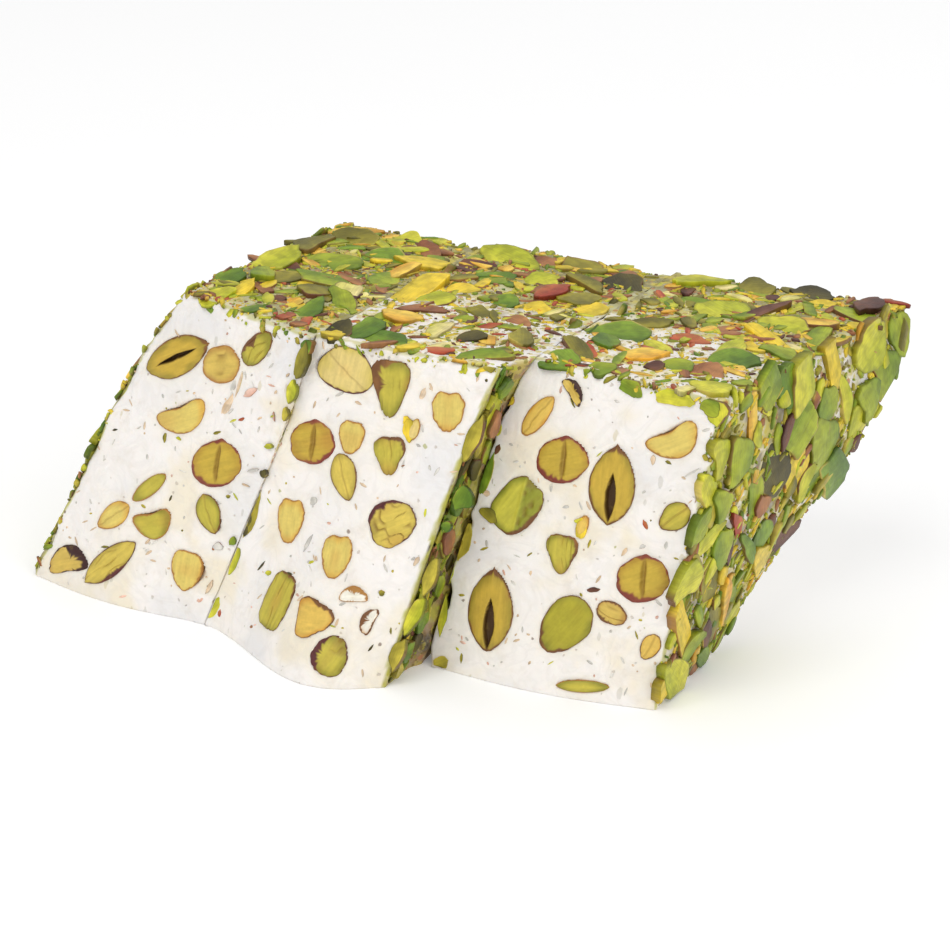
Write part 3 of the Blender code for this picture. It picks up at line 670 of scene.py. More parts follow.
class Wiring:
    """Adds nodes to one node tree and joins them."""

    def __init__(self, tree: Tree) -> None:
        """Starts on a tree."""
        self.tree = tree

    def feed(self, node: bpy.types.Node, inputs: dict) -> None:
        """Gives inputs, by name or number, a value or another node's output socket."""
        for name, value in inputs.items():
            if isinstance(value, Socket):
                self.tree.links.new(value, node.inputs[name])
            else:
                node.inputs[name].default_value = value

    def add(self, kind: str, inputs: dict | None = None, **settings) -> bpy.types.Node:
        """Adds a node of a kind, with its inputs fed and its own settings set."""
        node = self.tree.nodes.new(kind)
        for name, value in settings.items():
            setattr(node, name, value)
        self.feed(node, inputs or {})
        return node

    def math(self, operation: str, first, second=0.0) -> Socket:
        """The result of an operation on two numbers or sockets."""
        return self.add("ShaderNodeMath", {0: first, 1: second}, operation=operation).outputs[0]

    def scaled(self, value: Socket, factor: float, offset: float) -> Socket:
        """A value times a factor, plus an offset."""
        return self.math("ADD", self.math("MULTIPLY", value, factor), offset)

    def vector(self, operation: str, first, second) -> Socket:
        """The result of an operation on two vectors or sockets."""
        made = self.add("ShaderNodeVectorMath", {0: first, 1: second}, operation=operation)
        return made.outputs[0]

    def mix(self, share, first, second, blend_type: str = "MIX") -> Socket:
        """A mix of two colours or colour sockets."""
        made = self.add("ShaderNodeMix", {0: share, 6: first, 7: second}, data_type="RGBA",
                        blend_type=blend_type)
        return made.outputs[2]

    def step(self, value: Socket, low: float, high: float) -> Socket:
        """A smooth step from 0 at low to 1 at high."""
        made = self.add("ShaderNodeMapRange", {0: value, 1: low, 2: high},
                        interpolation_type="SMOOTHSTEP")
        return made.outputs[0]

    def noise(self, place: Socket, scale: float, detail: float = 2.0, **inputs: float) -> Socket:
        """The value of a noise texture, its roughness or distortion by name."""
        fed = {"Vector": place, "Scale": scale, "Detail": detail, **inputs}
        return self.add("ShaderNodeTexNoise", fed).outputs[0]

    def bump(self, height: Socket, depth: float) -> Socket:
        """A normal that follows a height, given how deep the bump goes."""
        fed = {"Strength": BUMP_STRENGTH, "Distance": depth, "Height": height}
        return self.add("ShaderNodeBump", fed).outputs[0]

    def place(self) -> Socket:
        """The place in the object's own coordinates."""
        return self.add("ShaderNodeTexCoord").outputs["Object"]

    def painted(self) -> Socket:
        """The colour that is painted on the mesh."""
        return self.add("ShaderNodeAttribute", attribute_name="tint").outputs["Color"]


def new_group(name: str, inputs: dict[str, str], output: str
              ) -> tuple[Tree, Wiring, bpy.types.Node, bpy.types.Node]:
    """An empty node group with its sockets.

    Args:
        name: the group's name.
        inputs: the type of each input, by its name.
        output: the name of its output, a number.

    Returns:
        The group, its wiring, and its input and output nodes.
    """
    tree = bpy.data.node_groups.new(name, "ShaderNodeTree")
    for socket, kind in inputs.items():
        tree.interface.new_socket(socket, in_out="INPUT", socket_type=f"NodeSocket{kind}")
    tree.interface.new_socket(output, in_out="OUTPUT", socket_type="NodeSocketFloat")
    wiring = Wiring(tree)
    return tree, wiring, wiring.add("NodeGroupInput"), wiring.add("NodeGroupOutput")


def speck_group() -> Tree:
    """Scattered round specks: the middles of some cells of a slightly bent cell pattern.

    Returns:
        A group that puts out a mask of the specks.
    """
    inputs = {"Vector": "Vector", "Cells per Metre": "Float", "Radius": "Float", "Share": "Float"}
    tree, make, source, sink = new_group("specks", inputs, "Mask")
    bent = make.add("ShaderNodeTexNoise", {"Vector": source.outputs["Vector"], "Scale": 1400.0})
    moved = make.vector("MULTIPLY", bent.outputs["Color"], (0.0007,) * 3)
    place = make.vector("ADD", source.outputs["Vector"], moved)
    cells = make.add("ShaderNodeTexVoronoi", {"Vector": place,
                                              "Scale": source.outputs["Cells per Metre"]})
    parts = make.add("ShaderNodeSeparateColor", {0: cells.outputs["Color"]})
    size = make.math("MULTIPLY", source.outputs["Radius"], make.scaled(parts.outputs[1], 0.8, 0.4))
    inside = make.math("SUBTRACT", size, cells.outputs["Distance"])
    chosen = make.math("LESS_THAN", parts.outputs[0], source.outputs["Share"])
    make.feed(sink, {"Mask": make.math("MULTIPLY", make.step(inside, 0.0, 0.05), chosen)})
    return tree


def streak_group() -> Tree:
    """Fine streaks along a piece: noise drawn out along the first axis of its grain.

    Returns:
        A group that puts out the streaks as a value about 0.5.
    """
    inputs = {"Grain": "Vector", "Along": "Float", "Across": "Float"}
    tree, make, source, sink = new_group("streaks", inputs, "Value")
    scale = make.add("ShaderNodeCombineXYZ", {0: source.outputs["Along"],
                                              1: source.outputs["Across"], 2: 1.0})
    place = make.vector("MULTIPLY", source.outputs["Grain"], scale.outputs[0])
    make.feed(sink, {"Value": make.noise(place, 1.0, 3.0, Roughness=0.6)})
    return tree


@dataclass(frozen=True)
class Groups:
    """The shader groups that the finishes share."""

    specks: Tree
    streaks: Tree


def new_material(name: str, colour: Colour) -> tuple[Material, Wiring, bpy.types.Node]:
    """A material with a Principled shader.

    Args:
        name: the material's name.
        colour: how it shows in a plain view.

    Returns:
        The material, its wiring and its shader.
    """
    material = bpy.data.materials.new(name)
    material.use_nodes = True
    material.diffuse_color = (*colour, 1.0)
    return material, Wiring(material.node_tree), material.node_tree.nodes["Principled BSDF"]


@dataclass(frozen=True)
class Specks:
    """One set of specks: how many cells there are in a metre, the radius as a share of a cell,
    the share of cells that have one, how strongly it shows, its colour, and how the three
    directions are squeezed, which draws the specks out the other way.
    """

    cells: float
    radius: float
    share: float
    strength: float
    colour: Colour
    squeeze: tuple = (1.0, 1.0, 1.0)


CUT_SPECKS = (
    Specks(620.0, 0.17, 0.26, 0.42, screen(168, 150, 132)),
    Specks(240.0, 0.10, 0.18, 0.75, screen(112, 84, 62)),
    Specks(330.0, 0.13, 0.12, 0.70, screen(168, 168, 84)),
    Specks(300.0, 0.24, 0.16, 0.32, screen(170, 166, 150), (1.5, 1.0, 0.7)),
    Specks(380.0, 0.22, 0.12, 0.40, screen(196, 182, 128), (1.0, 1.0, 0.5)),
)
COAT_SPECKS = (
    Specks(620.0, 0.52, 0.42, 0.75, screen(204, 188, 84)),
    Specks(900.0, 0.46, 0.34, 0.80, screen(152, 142, 56)),
    Specks(800.0, 0.42, 0.26, 0.70, screen(184, 118, 82)),
    Specks(1100.0, 0.40, 0.26, 0.75, screen(112, 92, 46)),
    Specks(700.0, 0.40, 0.20, 0.80, screen(186, 192, 70)),
)


@dataclass(frozen=True)
class NougatFinish:
    """White nougat: soft, a little translucent, with fine pores and specks of nut."""

    name: str = "white_nougat"
    roughness: float = 0.62
    pore_depth: float = 0.00026
    translucence: float = 0.22

    def speckled(self, make: Wiring, groups: Groups, place: Socket, colour: Socket,
                 specks: Specks, where: Socket) -> tuple[Socket, Socket]:
        """Adds one set of specks to a colour.

        Args:
            make, groups: the material's wiring and the shared shader groups.
            place, colour: the place, and the colour so far.
            specks, where: the set, and a mask of where it lies.

        Returns:
            The new colour and the specks' own mask.
        """
        found = make.add("ShaderNodeGroup", {
            "Vector": make.vector("MULTIPLY", place, specks.squeeze),
            "Cells per Metre": specks.cells, "Radius": specks.radius, "Share": specks.share,
        }, node_tree=groups.specks)
        mask = make.math("MULTIPLY", found.outputs["Mask"], where)
        shown = make.math("MULTIPLY", mask, specks.strength)
        return make.mix(shown, colour, (*specks.colour, 1.0)), mask

    def make(self, groups: Groups) -> Material:
        """Makes the material.

        Args:
            groups: the shared shader groups.

        Returns:
            The material. Clouds and thin swirls lie over the painted colour, then sets of specks:
            pores and bits of nut where the nougat is cut, crumbs where it is coated. The bump is
            fine noise and soft lumps less the pores.
        """
        material, make, shader = new_material(self.name, NOUGAT)
        place = make.place()
        coated = make.add("ShaderNodeAttribute", attribute_name="crust").outputs["Fac"]
        bare = make.math("SUBTRACT", 1.0, coated)
        cloud = make.step(make.noise(place, 260.0, 4.0, Roughness=0.62), 0.52, 0.78)
        colour = make.mix(make.math("MULTIPLY", cloud, 0.5), make.painted(),
                          (*screen(222, 212, 198), 1.0))
        swirl = make.noise(place, 150.0, 3.0, Distortion=1.8)
        line = make.step(make.math("ABSOLUTE", make.math("SUBTRACT", swirl, 0.5)), 0.09, 0.0)
        colour = make.mix(make.math("MULTIPLY", line, 0.14), colour, (*screen(206, 202, 196), 1.0))
        masks = []
        for specks in CUT_SPECKS:
            colour, mask = self.speckled(make, groups, place, colour, specks, bare)
            masks.append(mask)
        smear = make.step(make.noise(place, 330.0, 4.0, Roughness=0.7), 0.48, 0.62)
        spread = make.math("MULTIPLY", make.math("MULTIPLY", smear, coated), 0.7)
        colour = make.mix(spread, colour, (*screen(206, 190, 96), 1.0))
        for specks in COAT_SPECKS:
            colour, _ = self.speckled(make, groups, place, colour, specks, coated)
        fine = make.noise(place, 900.0, 4.0, Roughness=0.65)
        lumps = make.math("ADD", fine, make.math("MULTIPLY", swirl, 1.6))
        height = make.math("SUBTRACT", lumps, make.math("MULTIPLY", masks[0], 0.9))
        make.feed(shader, {
            "Base Color": colour, "Normal": make.bump(height, self.pore_depth),
            "Roughness": make.scaled(fine, 0.2, self.roughness - 0.1),
            "Subsurface Weight": self.translucence, "Subsurface Radius": (1.0, 0.8, 0.6),
            "Subsurface Scale": 0.0012, "Specular IOR Level": 0.35,
        })
        return material


@dataclass(frozen=True)
class NutFinish:
    """Pistachio: its painted colours, streaked along the piece and flecked."""

    name: str
    colour: Colour
    roughness: float = 0.46
    streak: float = 0.30
    fleck: float = 0.30
    tone: float = 0.0
    bump: float = 0.00010
    along: float = 0.25
    across: float = 1.9

    def make(self, groups: Groups) -> Material:
        """Makes the material.

        Args:
            groups: the shared shader groups.

        Returns:
            The material. Broad tones and streaks lighten and darken the painted colour, flecks of
            a warm tone lie over it, and the last two give the bump.
        """
        material, make, shader = new_material(self.name, self.colour)
        grain = make.add("ShaderNodeUVMap", uv_map="grain").outputs[0]
        lines = make.add("ShaderNodeGroup", {"Grain": grain, "Along": self.along,
                                             "Across": self.across},
                         node_tree=groups.streaks).outputs[0]
        broad = make.step(make.noise(grain, 0.5, Distortion=0.4), 0.30, 0.70)
        shade = make.math("MULTIPLY", make.scaled(lines, 2.0 * self.streak, 1.0 - self.streak),
                          make.scaled(broad, 2.0 * self.tone, 1.0 - self.tone))
        shade = make.add("ShaderNodeCombineColor", {0: shade, 1: shade, 2: shade}).outputs[0]
        colour = make.mix(1.0, make.painted(), shade, "MULTIPLY")
        mottle = make.noise(make.place(), 750.0, 3.0, Roughness=0.6)
        colour = make.mix(make.math("MULTIPLY", make.step(mottle, 0.55, 0.75), self.fleck),
                          colour, (*screen(196, 168, 78), 1.0))
        height = make.math("ADD", lines, make.math("MULTIPLY", mottle, 0.6))
        make.feed(shader, {
            "Base Color": colour, "Normal": make.bump(height, self.bump),
            "Roughness": make.scaled(mottle, 0.2, self.roughness - 0.1),
            "Specular IOR Level": 0.32,
        })
        return material


@dataclass(frozen=True)
class FloorFinish:
    """A plain pale floor."""

    name: str = "pale_floor"
    colour: Colour = screen(250, 250, 250)
    glow: float = 0.135

    def make(self) -> Material:
        """Makes the material: near white, with a faint unevenness."""
        material, make, shader = new_material(self.name, self.colour)
        colour = make.mix(make.noise(make.place(), 9.0), (*self.colour, 1.0),
                          (*screen(248, 248, 248), 1.0))
        make.feed(shader, {
            "Base Color": colour, "Roughness": 0.9, "Specular IOR Level": 0.1,
            "Emission Color": (1.0, 1.0, 1.0, 1.0), "Emission Strength": self.glow,
        })
        return material


# -------- Nougat


@dataclass(frozen=True)
class NougatBar:
    """A bar's nougat: a block with rounded edges, waves from the knife, and a dent for each kernel."""

    shape: BarShape
    lines: tuple[int, int, int] = (100, 76, 150)
    edge_radius: float = 0.9
    dent: float = 0.16
    dent_reach: float = 0.35
    pocket: float = 1.5
    press_reach: float = 2.6
    joint_fill: tuple[float, float] = (1.4, 0.7)
    joint_gap: float = 0.02
    seed: int = 41

    def waves(self, points: Array, size: float, number: int) -> Array:
        """One of the nougat's own noises."""
        return noise(points, size, self.seed + number)

    def box_size(self) -> Array:
        """The bar's mean width, depth and height, in millimetres."""
        shape = self.shape
        depth = float(np.mean([shape.back_y(0.5, w) - shape.cut_y(0.5, w) for w in (0.0, 1.0)]))
        return np.array([shape.width(0.5), depth, HEIGHT])

    def lattice(self) -> tuple[Array, Array, list[Array]]:
        """The skin of a box-shaped lattice.

        Lines stand close together within the edge radius and evenly between. Each point of the
        skin is drawn in to a rounded box: its nearest place in a smaller box, plus the radius
        towards the point. The edges of a joint stay sharp.

        Returns:
            The points' fractions, their outward directions and the faces.
        """
        size = self.box_size()
        near = self.edge_radius * np.array([0.0, 0.3, 0.65])
        axes = [np.concatenate([near, np.linspace(self.edge_radius, extent - self.edge_radius, n),
                                extent - near[::-1]]) for extent, n in zip(size, self.lines)]
        counts = [len(axis) for axis in axes]
        place = np.stack(np.meshgrid(*[np.arange(n) for n in counts], indexing="ij"), axis=-1)
        outside = ((place == 0) | (place == np.array(counts) - 1)).any(axis=-1)
        numbers = np.full(counts, -1)
        numbers[outside] = np.arange(int(outside.sum()))
        raw = np.stack([axis[place[outside][:, i]] for i, axis in enumerate(axes)], axis=-1)
        inner = np.clip(raw, self.edge_radius, size - self.edge_radius)
        away = raw - inner
        away = away / np.linalg.norm(away, axis=-1, keepdims=True)
        place = inner + away * self.edge_radius
        for side, is_open in enumerate(self.shape.open_sides):
            if not is_open:
                near = np.abs(raw[:, 0] - side * size[0]) < self.edge_radius
                place[near] = raw[near]
        sheets = (numbers[0].T, numbers[-1], numbers[:, 0], numbers[:, -1].T,
                  numbers[:, :, 0].T, numbers[:, :, -1])
        faces = [np.stack([s[:-1, :-1], s[1:, :-1], s[1:, 1:], s[:-1, 1:]], axis=-1).reshape(-1, 4)
                 for s in sheets]
        return place / size, away, faces

    def pressed(self, points: Array, fractions: Array) -> Array:
        """How far in x the edges wander, and how far the joints between bars are pressed full.

        Args:
            points, fractions: places on the skin and their fractions.

        Returns:
            A shift for each, which dies out inward and follows two sizes of noise. On an open
            side it stays by the cut faces, and in a joint it takes up a share of the room to
            where the bars meet, all of it at the top.
        """
        index = BARS.index(self.shape)
        y, w = points[:, 1], np.clip(points[:, 2] / HEIGHT, 0.0, 1.0)
        reach = self.press_reach / self.shape.width(0.5)
        shift = np.zeros(len(points))
        for side, is_open in enumerate(self.shape.open_sides):
            inward = np.abs(fractions[:, 0] - side)
            ragged = self.waves(points, 5.5, 8 + side) + 0.5 * self.waves(points, 1.9, 10 + side)
            if is_open:
                cut = np.minimum(fractions[:, 1], 1.0 - fractions[:, 1])
                amount = 0.5 * ragged * ease(0.06, 0.0, cut)
            else:
                joint = index - 1 + side
                room = joint_room(joint, y, w)
                gap = np.abs(room[1] - room[0 if side else 2])
                fill = self.joint_fill[joint] + 0.7 * ragged + ease(0.86, 0.97, w)
                behind = behind_cut(index + (1 if side else -1), 1.0 - side, y, w)
                amount = gap * np.clip(fill * ease(-4.0, 0.5, behind), -0.3, 1.0)
            shift += (1.0 if side else -1.0) * amount * ease(reach, 0.0, inward)
        return shift

    def side_colours(self, tint: Array, points: Array, fractions: Array, away: Array) -> Array:
        """Paints the sides, and along the rims of the cut faces the coat's own thickness.

        Args:
            tint: colours so far.
            points, fractions, away: places on the skin, their fractions and outward directions.

        Returns:
            The colours. An open side is green and olive in places; the olive is partly the coat's
            own colour and partly painted shade between the slices. A joint is brown, partly the
            coat's colour and partly painted shade, and dark with painted shade away from the cut
            faces and the top, where the white nougat is pressed together, but the right side of
            the middle bar shows up to its edge.
        """
        size = self.box_size()
        cloud, patch = self.waves(points, 4.5, 6), self.waves(points, 1.7, 7)
        ragged = 0.5 + 0.5 * self.waves(points, 1.3, 12)
        is_cut = np.abs(away[:, 1]) > 0.5
        depth = np.minimum(fractions[:, 1], 1.0 - fractions[:, 1]) * size[1]
        for side, is_open in enumerate(self.shape.open_sides):
            here = (away[:, 0] < -0.5) if side == 0 else (away[:, 0] > 0.5)
            in_from_side = np.abs(fractions[:, 0] - side) * size[0]
            shows = is_open or (self.shape.name == "middle" and side == 1)
            if is_open:
                tint = paint(tint, CRUST_GREEN, 0.8 * here * ease(0.0, 0.5, patch))
                # Olive patches: partly the coat's colour and partly painted shade on the nougat between
                # the slices.
                tint = paint(tint, CRUST_OLIVE, 0.8 * here * ease(0.1, 0.6, cloud - 0.5 * patch))
            else:
                inner = here * ease(HEIGHT, HEIGHT - 1.0, points[:, 2])
                inner = inner * (1.0 if shows else ease(1.0, 2.0, depth))
                # The joint's brown is partly the coat's colour and partly painted shade, and its dark
                # patches are painted shade.
                tint = paint(tint, GAP_BROWN, 0.9 * inner)
                tint = paint(tint, CRUST_GREEN, 0.8 * inner * ease(0.1, 0.6, cloud + 0.3 * patch))
                tint = paint(tint, GAP_SHADE, 0.9 * inner * ease(-0.1, -0.5, cloud + 0.3 * patch))
            if shows:
                band = is_cut * ease(0.9 * ragged + 0.15, 0.9 * ragged - 0.15, in_from_side)
                tint = paint(tint, RIM_GREEN, 0.8 * band)
        under_top = (1.0 - fractions[:, 2]) * size[2]
        band = is_cut * ease(0.8 * ragged + 0.2, 0.8 * ragged - 0.1, under_top)
        return paint(tint, RIM_GREEN, 0.7 * band)

    def nearness(self, face: Face, kernel: Kernel, fractions: Array) -> Array:
        """Distance from each place of a cut face to a kernel's outline, less than 0 inside it."""
        spot = np.array(kernel_spot(self.shape, kernel))
        _, slopes = self.shape.face_frame(face, spot[:1], spot[1:])
        flat = (fractions - spot) @ slopes[0].T
        angle = np.linspace(-math.pi, math.pi, 181)
        outline = kernel_outline(kernel, angle)
        turn = np.arctan2(outline[:, 1], outline[:, 0])
        order = np.argsort(turn)
        reach = np.interp(np.arctan2(flat[:, 1], flat[:, 0]), turn[order],
                          np.linalg.norm(outline, axis=1)[order], period=2.0 * math.pi)
        return np.linalg.norm(flat, axis=1) - reach

    def build(self, material: Material) -> None:
        """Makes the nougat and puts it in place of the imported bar.

        Under the coat it is yellow in patches, and green towards the back and on the left bar.

        Args:
            material: the nougat's finish.
        """
        index = BARS.index(self.shape)
        fractions, away, faces = self.lattice()
        points = self.shape.point(*fractions.T)
        cut = {Face.FRONT: away[:, 1] < -0.5, Face.BACK: away[:, 1] > 0.5}
        is_cut = cut[Face.FRONT] | cut[Face.BACK]
        crust = self.waves(points, 3.2, 2) + 0.5 * self.waves(points, 1.3, 3)
        height = np.where(is_cut, cut_height(points), crust_height(points))
        under = away[:, 2] < -0.3
        height = np.where(under, 0.0, height)
        cloud = self.waves(points, 9.0, 4)
        tint = np.broadcast_to(np.array(NOUGAT), points.shape).copy()
        tint = paint(tint, NOUGAT_COOL, 0.8 * ease(0.0, 0.7, cloud))
        tint = paint(tint, NOUGAT_WARM, 0.9 * ease(0.1, 0.8, -cloud + 0.3 * crust))
        patch = self.waves(points, 2.3, 5)
        coated = np.where(is_cut, 0.0, 1.0)
        tint = paint(tint, CRUST, 0.7 * ease(-0.2, 0.7, crust) * coated)
        tint = paint(tint, CRUST_YELLOW, 0.5 * ease(0.3, 0.8, -patch) * coated)
        far = fractions[:, 1] + 0.10 * patch + (0.5 if index == 0 else 0.0)
        is_top = coated * (away[:, 2] > 0.5)
        tint = paint(tint, CRUST_GREEN, 0.7 * is_top * ease(0.40, 0.65, far))
        tint = paint(tint, CRUST_OLIVE, 0.6 * is_top * ease(0.5, 0.9, far + 0.5 * crust))
        tint = self.side_colours(tint, points, fractions, away)
        move = away * height[:, None]
        for face, kernels in KERNELS.items():
            chosen = np.flatnonzero(cut[face])
            inward = 1.0 if face is Face.FRONT else -1.0
            for kernel in kernels[self.shape.name]:
                gap = self.nearness(face, kernel, fractions[chosen][:, [0, 2]])
                push = self.dent * np.exp(-((gap / self.dent_reach) ** 2))
                push = np.maximum(push, self.pocket * ease(-0.1, -0.55, gap))
                move[chosen, 1] += inward * push
                tint[chosen] = paint(tint[chosen], NOUGAT_WARM, 0.5 * np.exp(-np.clip(gap, 0, None)))
        points[:, 0] += self.pressed(points, fractions)
        points = keep_to_own_half(index, points + move, self.joint_gap)
        points[under, 2] = np.maximum(points[under, 2] - FLOOR_CLEARANCE, 0.0)
        surface = Surface(points, faces, tint, points[:, [0, 2]], coated)
        made = surface.to_object(f"nougat_{self.shape.name}", material)
        put_on_part(made, "white_nougat", (f"bar_{self.shape.name}",))


# -------- Kernels


@dataclass(frozen=True)
class CutKernel:
    """One kernel as the knife left it: a shallow domed cut, its mark and its skin.

    The cut stands proud by proud, less drop times a power of the share of the outline, and has a
    ripple. slit and seam are each a half length, as a share of the kernel, and a half width.
    walls are the rings behind the cut: shares of the outline and heights.
    """

    nougat: NougatBar
    face: Face
    kernel: Kernel
    seed: int
    sides: int = 96
    rings: int = 22
    proud: float = 0.26
    drop: float = 0.34
    drop_power: int = 6
    ring_power: float = 0.9
    ripple: float = 0.05
    walls: tuple = ((0.99, -0.7), (0.90, -1.6), (0.76, -2.7), (0.62, -3.8))
    slit: tuple[float, float] = (0.31, 0.60)
    seam: tuple[float, float] = (0.43, 0.42)
    wobble: float = 0.030
    nub: float = 0.08
    corner: float = 0.08

    def kind(self) -> Kind:
        """What kind of kernel it is."""
        return KINDS[self.kernel.kind]

    def mark_kind(self) -> Mark:
        """What its mark is."""
        return self.kernel.mark or self.kind().mark

    def mark_turn(self) -> float:
        """The direction of its mark, in degrees on the face."""
        kernel = self.kernel
        return kernel.turn if kernel.mark_turn is None else kernel.mark_turn

    def waves(self, x: Array, y: Array, size: float, number: int) -> Array:
        """One of the kernel's own noises in the plane of the cut."""
        return flat_noise(x, y, size, self.seed + number)

    def mark(self, flat: Array) -> tuple[Array, Array]:
        """How deep and how dark the mark is.

        Args:
            flat: places on the cut, in millimetres from the kernel's middle.

        Returns:
            The depth in millimetres and the darkness from 0 to 1. A slit or a seam is open where
            its half width, which falls off as a parabola, exceeds the distance from its line.
            Veins are thin bands, cracks are where a noise is near 0, and ribs are broken waves.
        """
        kernel, kind = self.kernel, self.mark_kind()
        x, y = np.moveaxis(turned(flat, -self.mark_turn()), -1, 0)
        wobble = 0.10 * self.waves(x, y, 1.1, 0)
        x = x - kernel.mark_shift * kernel.length
        if kind is Mark.SLIT:
            length, width = self.slit
            along = x / (length * kernel.length)
            half = width * (kernel.breadth / 7.0) ** 4 * (1.0 - along ** 2)
            opening = half - np.abs(y + wobble)
            return 1.1 * ease(-0.05, 0.25, opening), ease(-0.16, 0.10, opening)
        if kind is Mark.SEAM:
            length, width = self.seam
            along = (x - 0.2) / (length * kernel.breadth)
            opening = width * (1.0 - along ** 4) - np.abs(y + 1.5 * wobble + 0.25)
            dark = 0.50 * ease(-0.25, 0.15, opening)
            dark = dark + 0.40 * ease(0.05, 0.30, opening) * ease(0.1, -0.3, y + 0.25)
            return 0.50 * ease(-0.20, 0.40, opening), dark
        if kind is Mark.VEIN:
            band = ease(0.26, 0.05, np.abs(y + 2.0 * wobble))
            return 0.08 * band, 0.30 * band
        if kind is Mark.CRACKS:
            split = np.abs(self.waves(x, 1.5 * y, 1.9, 1))
            band = ease(0.14, 0.03, split) * ease(-0.2, 0.4, self.waves(x, y, 2.0, 2))
            return 0.30 * band, 0.60 * band
        if kind is Mark.RIBS:
            split = np.abs(np.sin(2.3 * y + 3.2 * self.waves(x / 2.0, y, 1.8, 1)))
            band = ease(0.50, 0.05, split) * ease(-0.4, 0.4, self.waves(x, y, 1.8, 2))
            return 0.22 * band, 0.32 * band
        if kind is Mark.HALVES:
            ridge = np.exp(-(((y + wobble + 0.6) / 0.35) ** 2))
            crumbly = ease(-0.4, -0.9, y) * ease(-0.2, 0.5, self.waves(x, y, 0.8, 1))
            return 0.30 * crumbly - 0.18 * ridge, 0.5 * crumbly
        if kind is Mark.CURL:
            hollow = (y / (0.22 * kernel.breadth)) ** 2 + (x / (0.4 * kernel.length)) ** 2
            return 0.7 * np.exp(-hollow), 0.0 * x
        return 0.0 * x, 0.0 * x

    def colours(self, flat: Array, ring: Array, angle: Array, edge: Array, dark: Array) -> Array:
        """The painted colours of the cut.

        Args:
            flat: places on the cut.
            ring: 0 at the middle to 1 at the outline.
            angle: the direction of each place from the middle, in radians on the face.
            edge: distance to the outline, in millimetres.
            dark: the darkness of the mark.

        Returns:
            A linear colour for each place: the flesh's middle colour runs into its edge colour,
            with streaks and a blush, then come the mark and the skin, which is as wide as the
            kernel's kind says, uneven, and wider to one side.
        """
        kernel, kind, mark = self.kernel, self.kind(), self.mark_kind()
        middle, outer = (kernel.flesh or kind.flesh).value
        x, y = np.moveaxis(turned(flat, -kernel.turn), -1, 0)
        patch = self.waves(x, y, 2.4, 4)
        tone = ease(0.30, 1.1, ring ** 2.4 + 0.45 * patch)
        if mark is Mark.HALVES:
            across = turned(flat, -self.mark_turn())[..., 1]
            tone = np.maximum(tone, 0.8 * ease(-0.4, -0.9, across))
        colour = blend(np.array(middle), np.array(outer), tone[..., None])
        streak = self.waves(x / 4.0, y, 0.5, 5)
        colour = colour * (1.0 + 0.12 * streak + 0.07 * self.waves(x, y, 0.32, 10))[..., None]
        colour = paint(colour, BLUSH, 0.35 * ease(0.15, 0.8, self.waves(x, y, 3.4, 6)))
        colour = paint(colour, SLIT_DARK if mark is Mark.SLIT else CRACK_BROWN, dark)
        thick, thick_at = kernel.thick
        lean = np.clip(np.cos(angle - math.radians(thick_at)), 0.0, 1.0) ** 2
        ragged = 0.5 + 0.5 * self.waves(6.0 * np.cos(angle), 6.0 * np.sin(angle), 0.9, 7)
        width = 0.05 + kind.rim * 0.95 * ragged ** 1.3 + thick * lean * (0.3 + 1.3 * ragged)
        if mark in (Mark.SLIT, Mark.SEAM):
            width = width + 0.7 * np.exp(-((self.off_mark(angle) / 0.2) ** 2))
        skin = ease(1.15, 0.65, edge / width)
        shade = np.array((kernel.skin or kind.skin).value)
        shade = blend(shade, np.array(BLUSH), 0.35 * ease(0.2, 1.0, patch)[..., None])
        return blend(colour, shade, skin[..., None])

    def off_mark(self, angle: Array) -> Array:
        """How far directions on the face are from the mark's own, in radians."""
        return np.angle(np.exp(1j * (angle - math.radians(self.mark_turn()))))

    def unevenness(self, angle: Array) -> Array:
        """How far the outline stands out round the kernel, as a factor near 1.

        Two sizes of noise run round it, a split kernel has a small nub at one end, a round one
        has two corners besides, and a bean is dimpled.
        """
        x, y = np.cos(angle), np.sin(angle)
        kind, mark = self.kind(), self.mark_kind()
        wander = (self.waves(2.2 * x, 2.2 * y, 0.9, 8) + 0.6 * self.waves(6.0 * x, 6.0 * y, 0.9, 9))
        factor = 1.0 + self.wobble * kind.ragged * wander
        if mark in (Mark.SLIT, Mark.SEAM):
            off = self.off_mark(angle + math.radians(self.kernel.turn))
            factor = factor + self.nub * np.exp(-((off / 0.12) ** 2))
            if mark is Mark.SEAM:
                factor = factor + self.corner * np.exp(-(((off + 1.65) / 0.30) ** 2))
                factor = factor + 0.7 * self.corner * np.exp(-(((off - 2.1) / 0.28) ** 2))
        return factor - kind.dimple * np.exp(-(((angle - 0.5 * math.pi) / 0.5) ** 2))

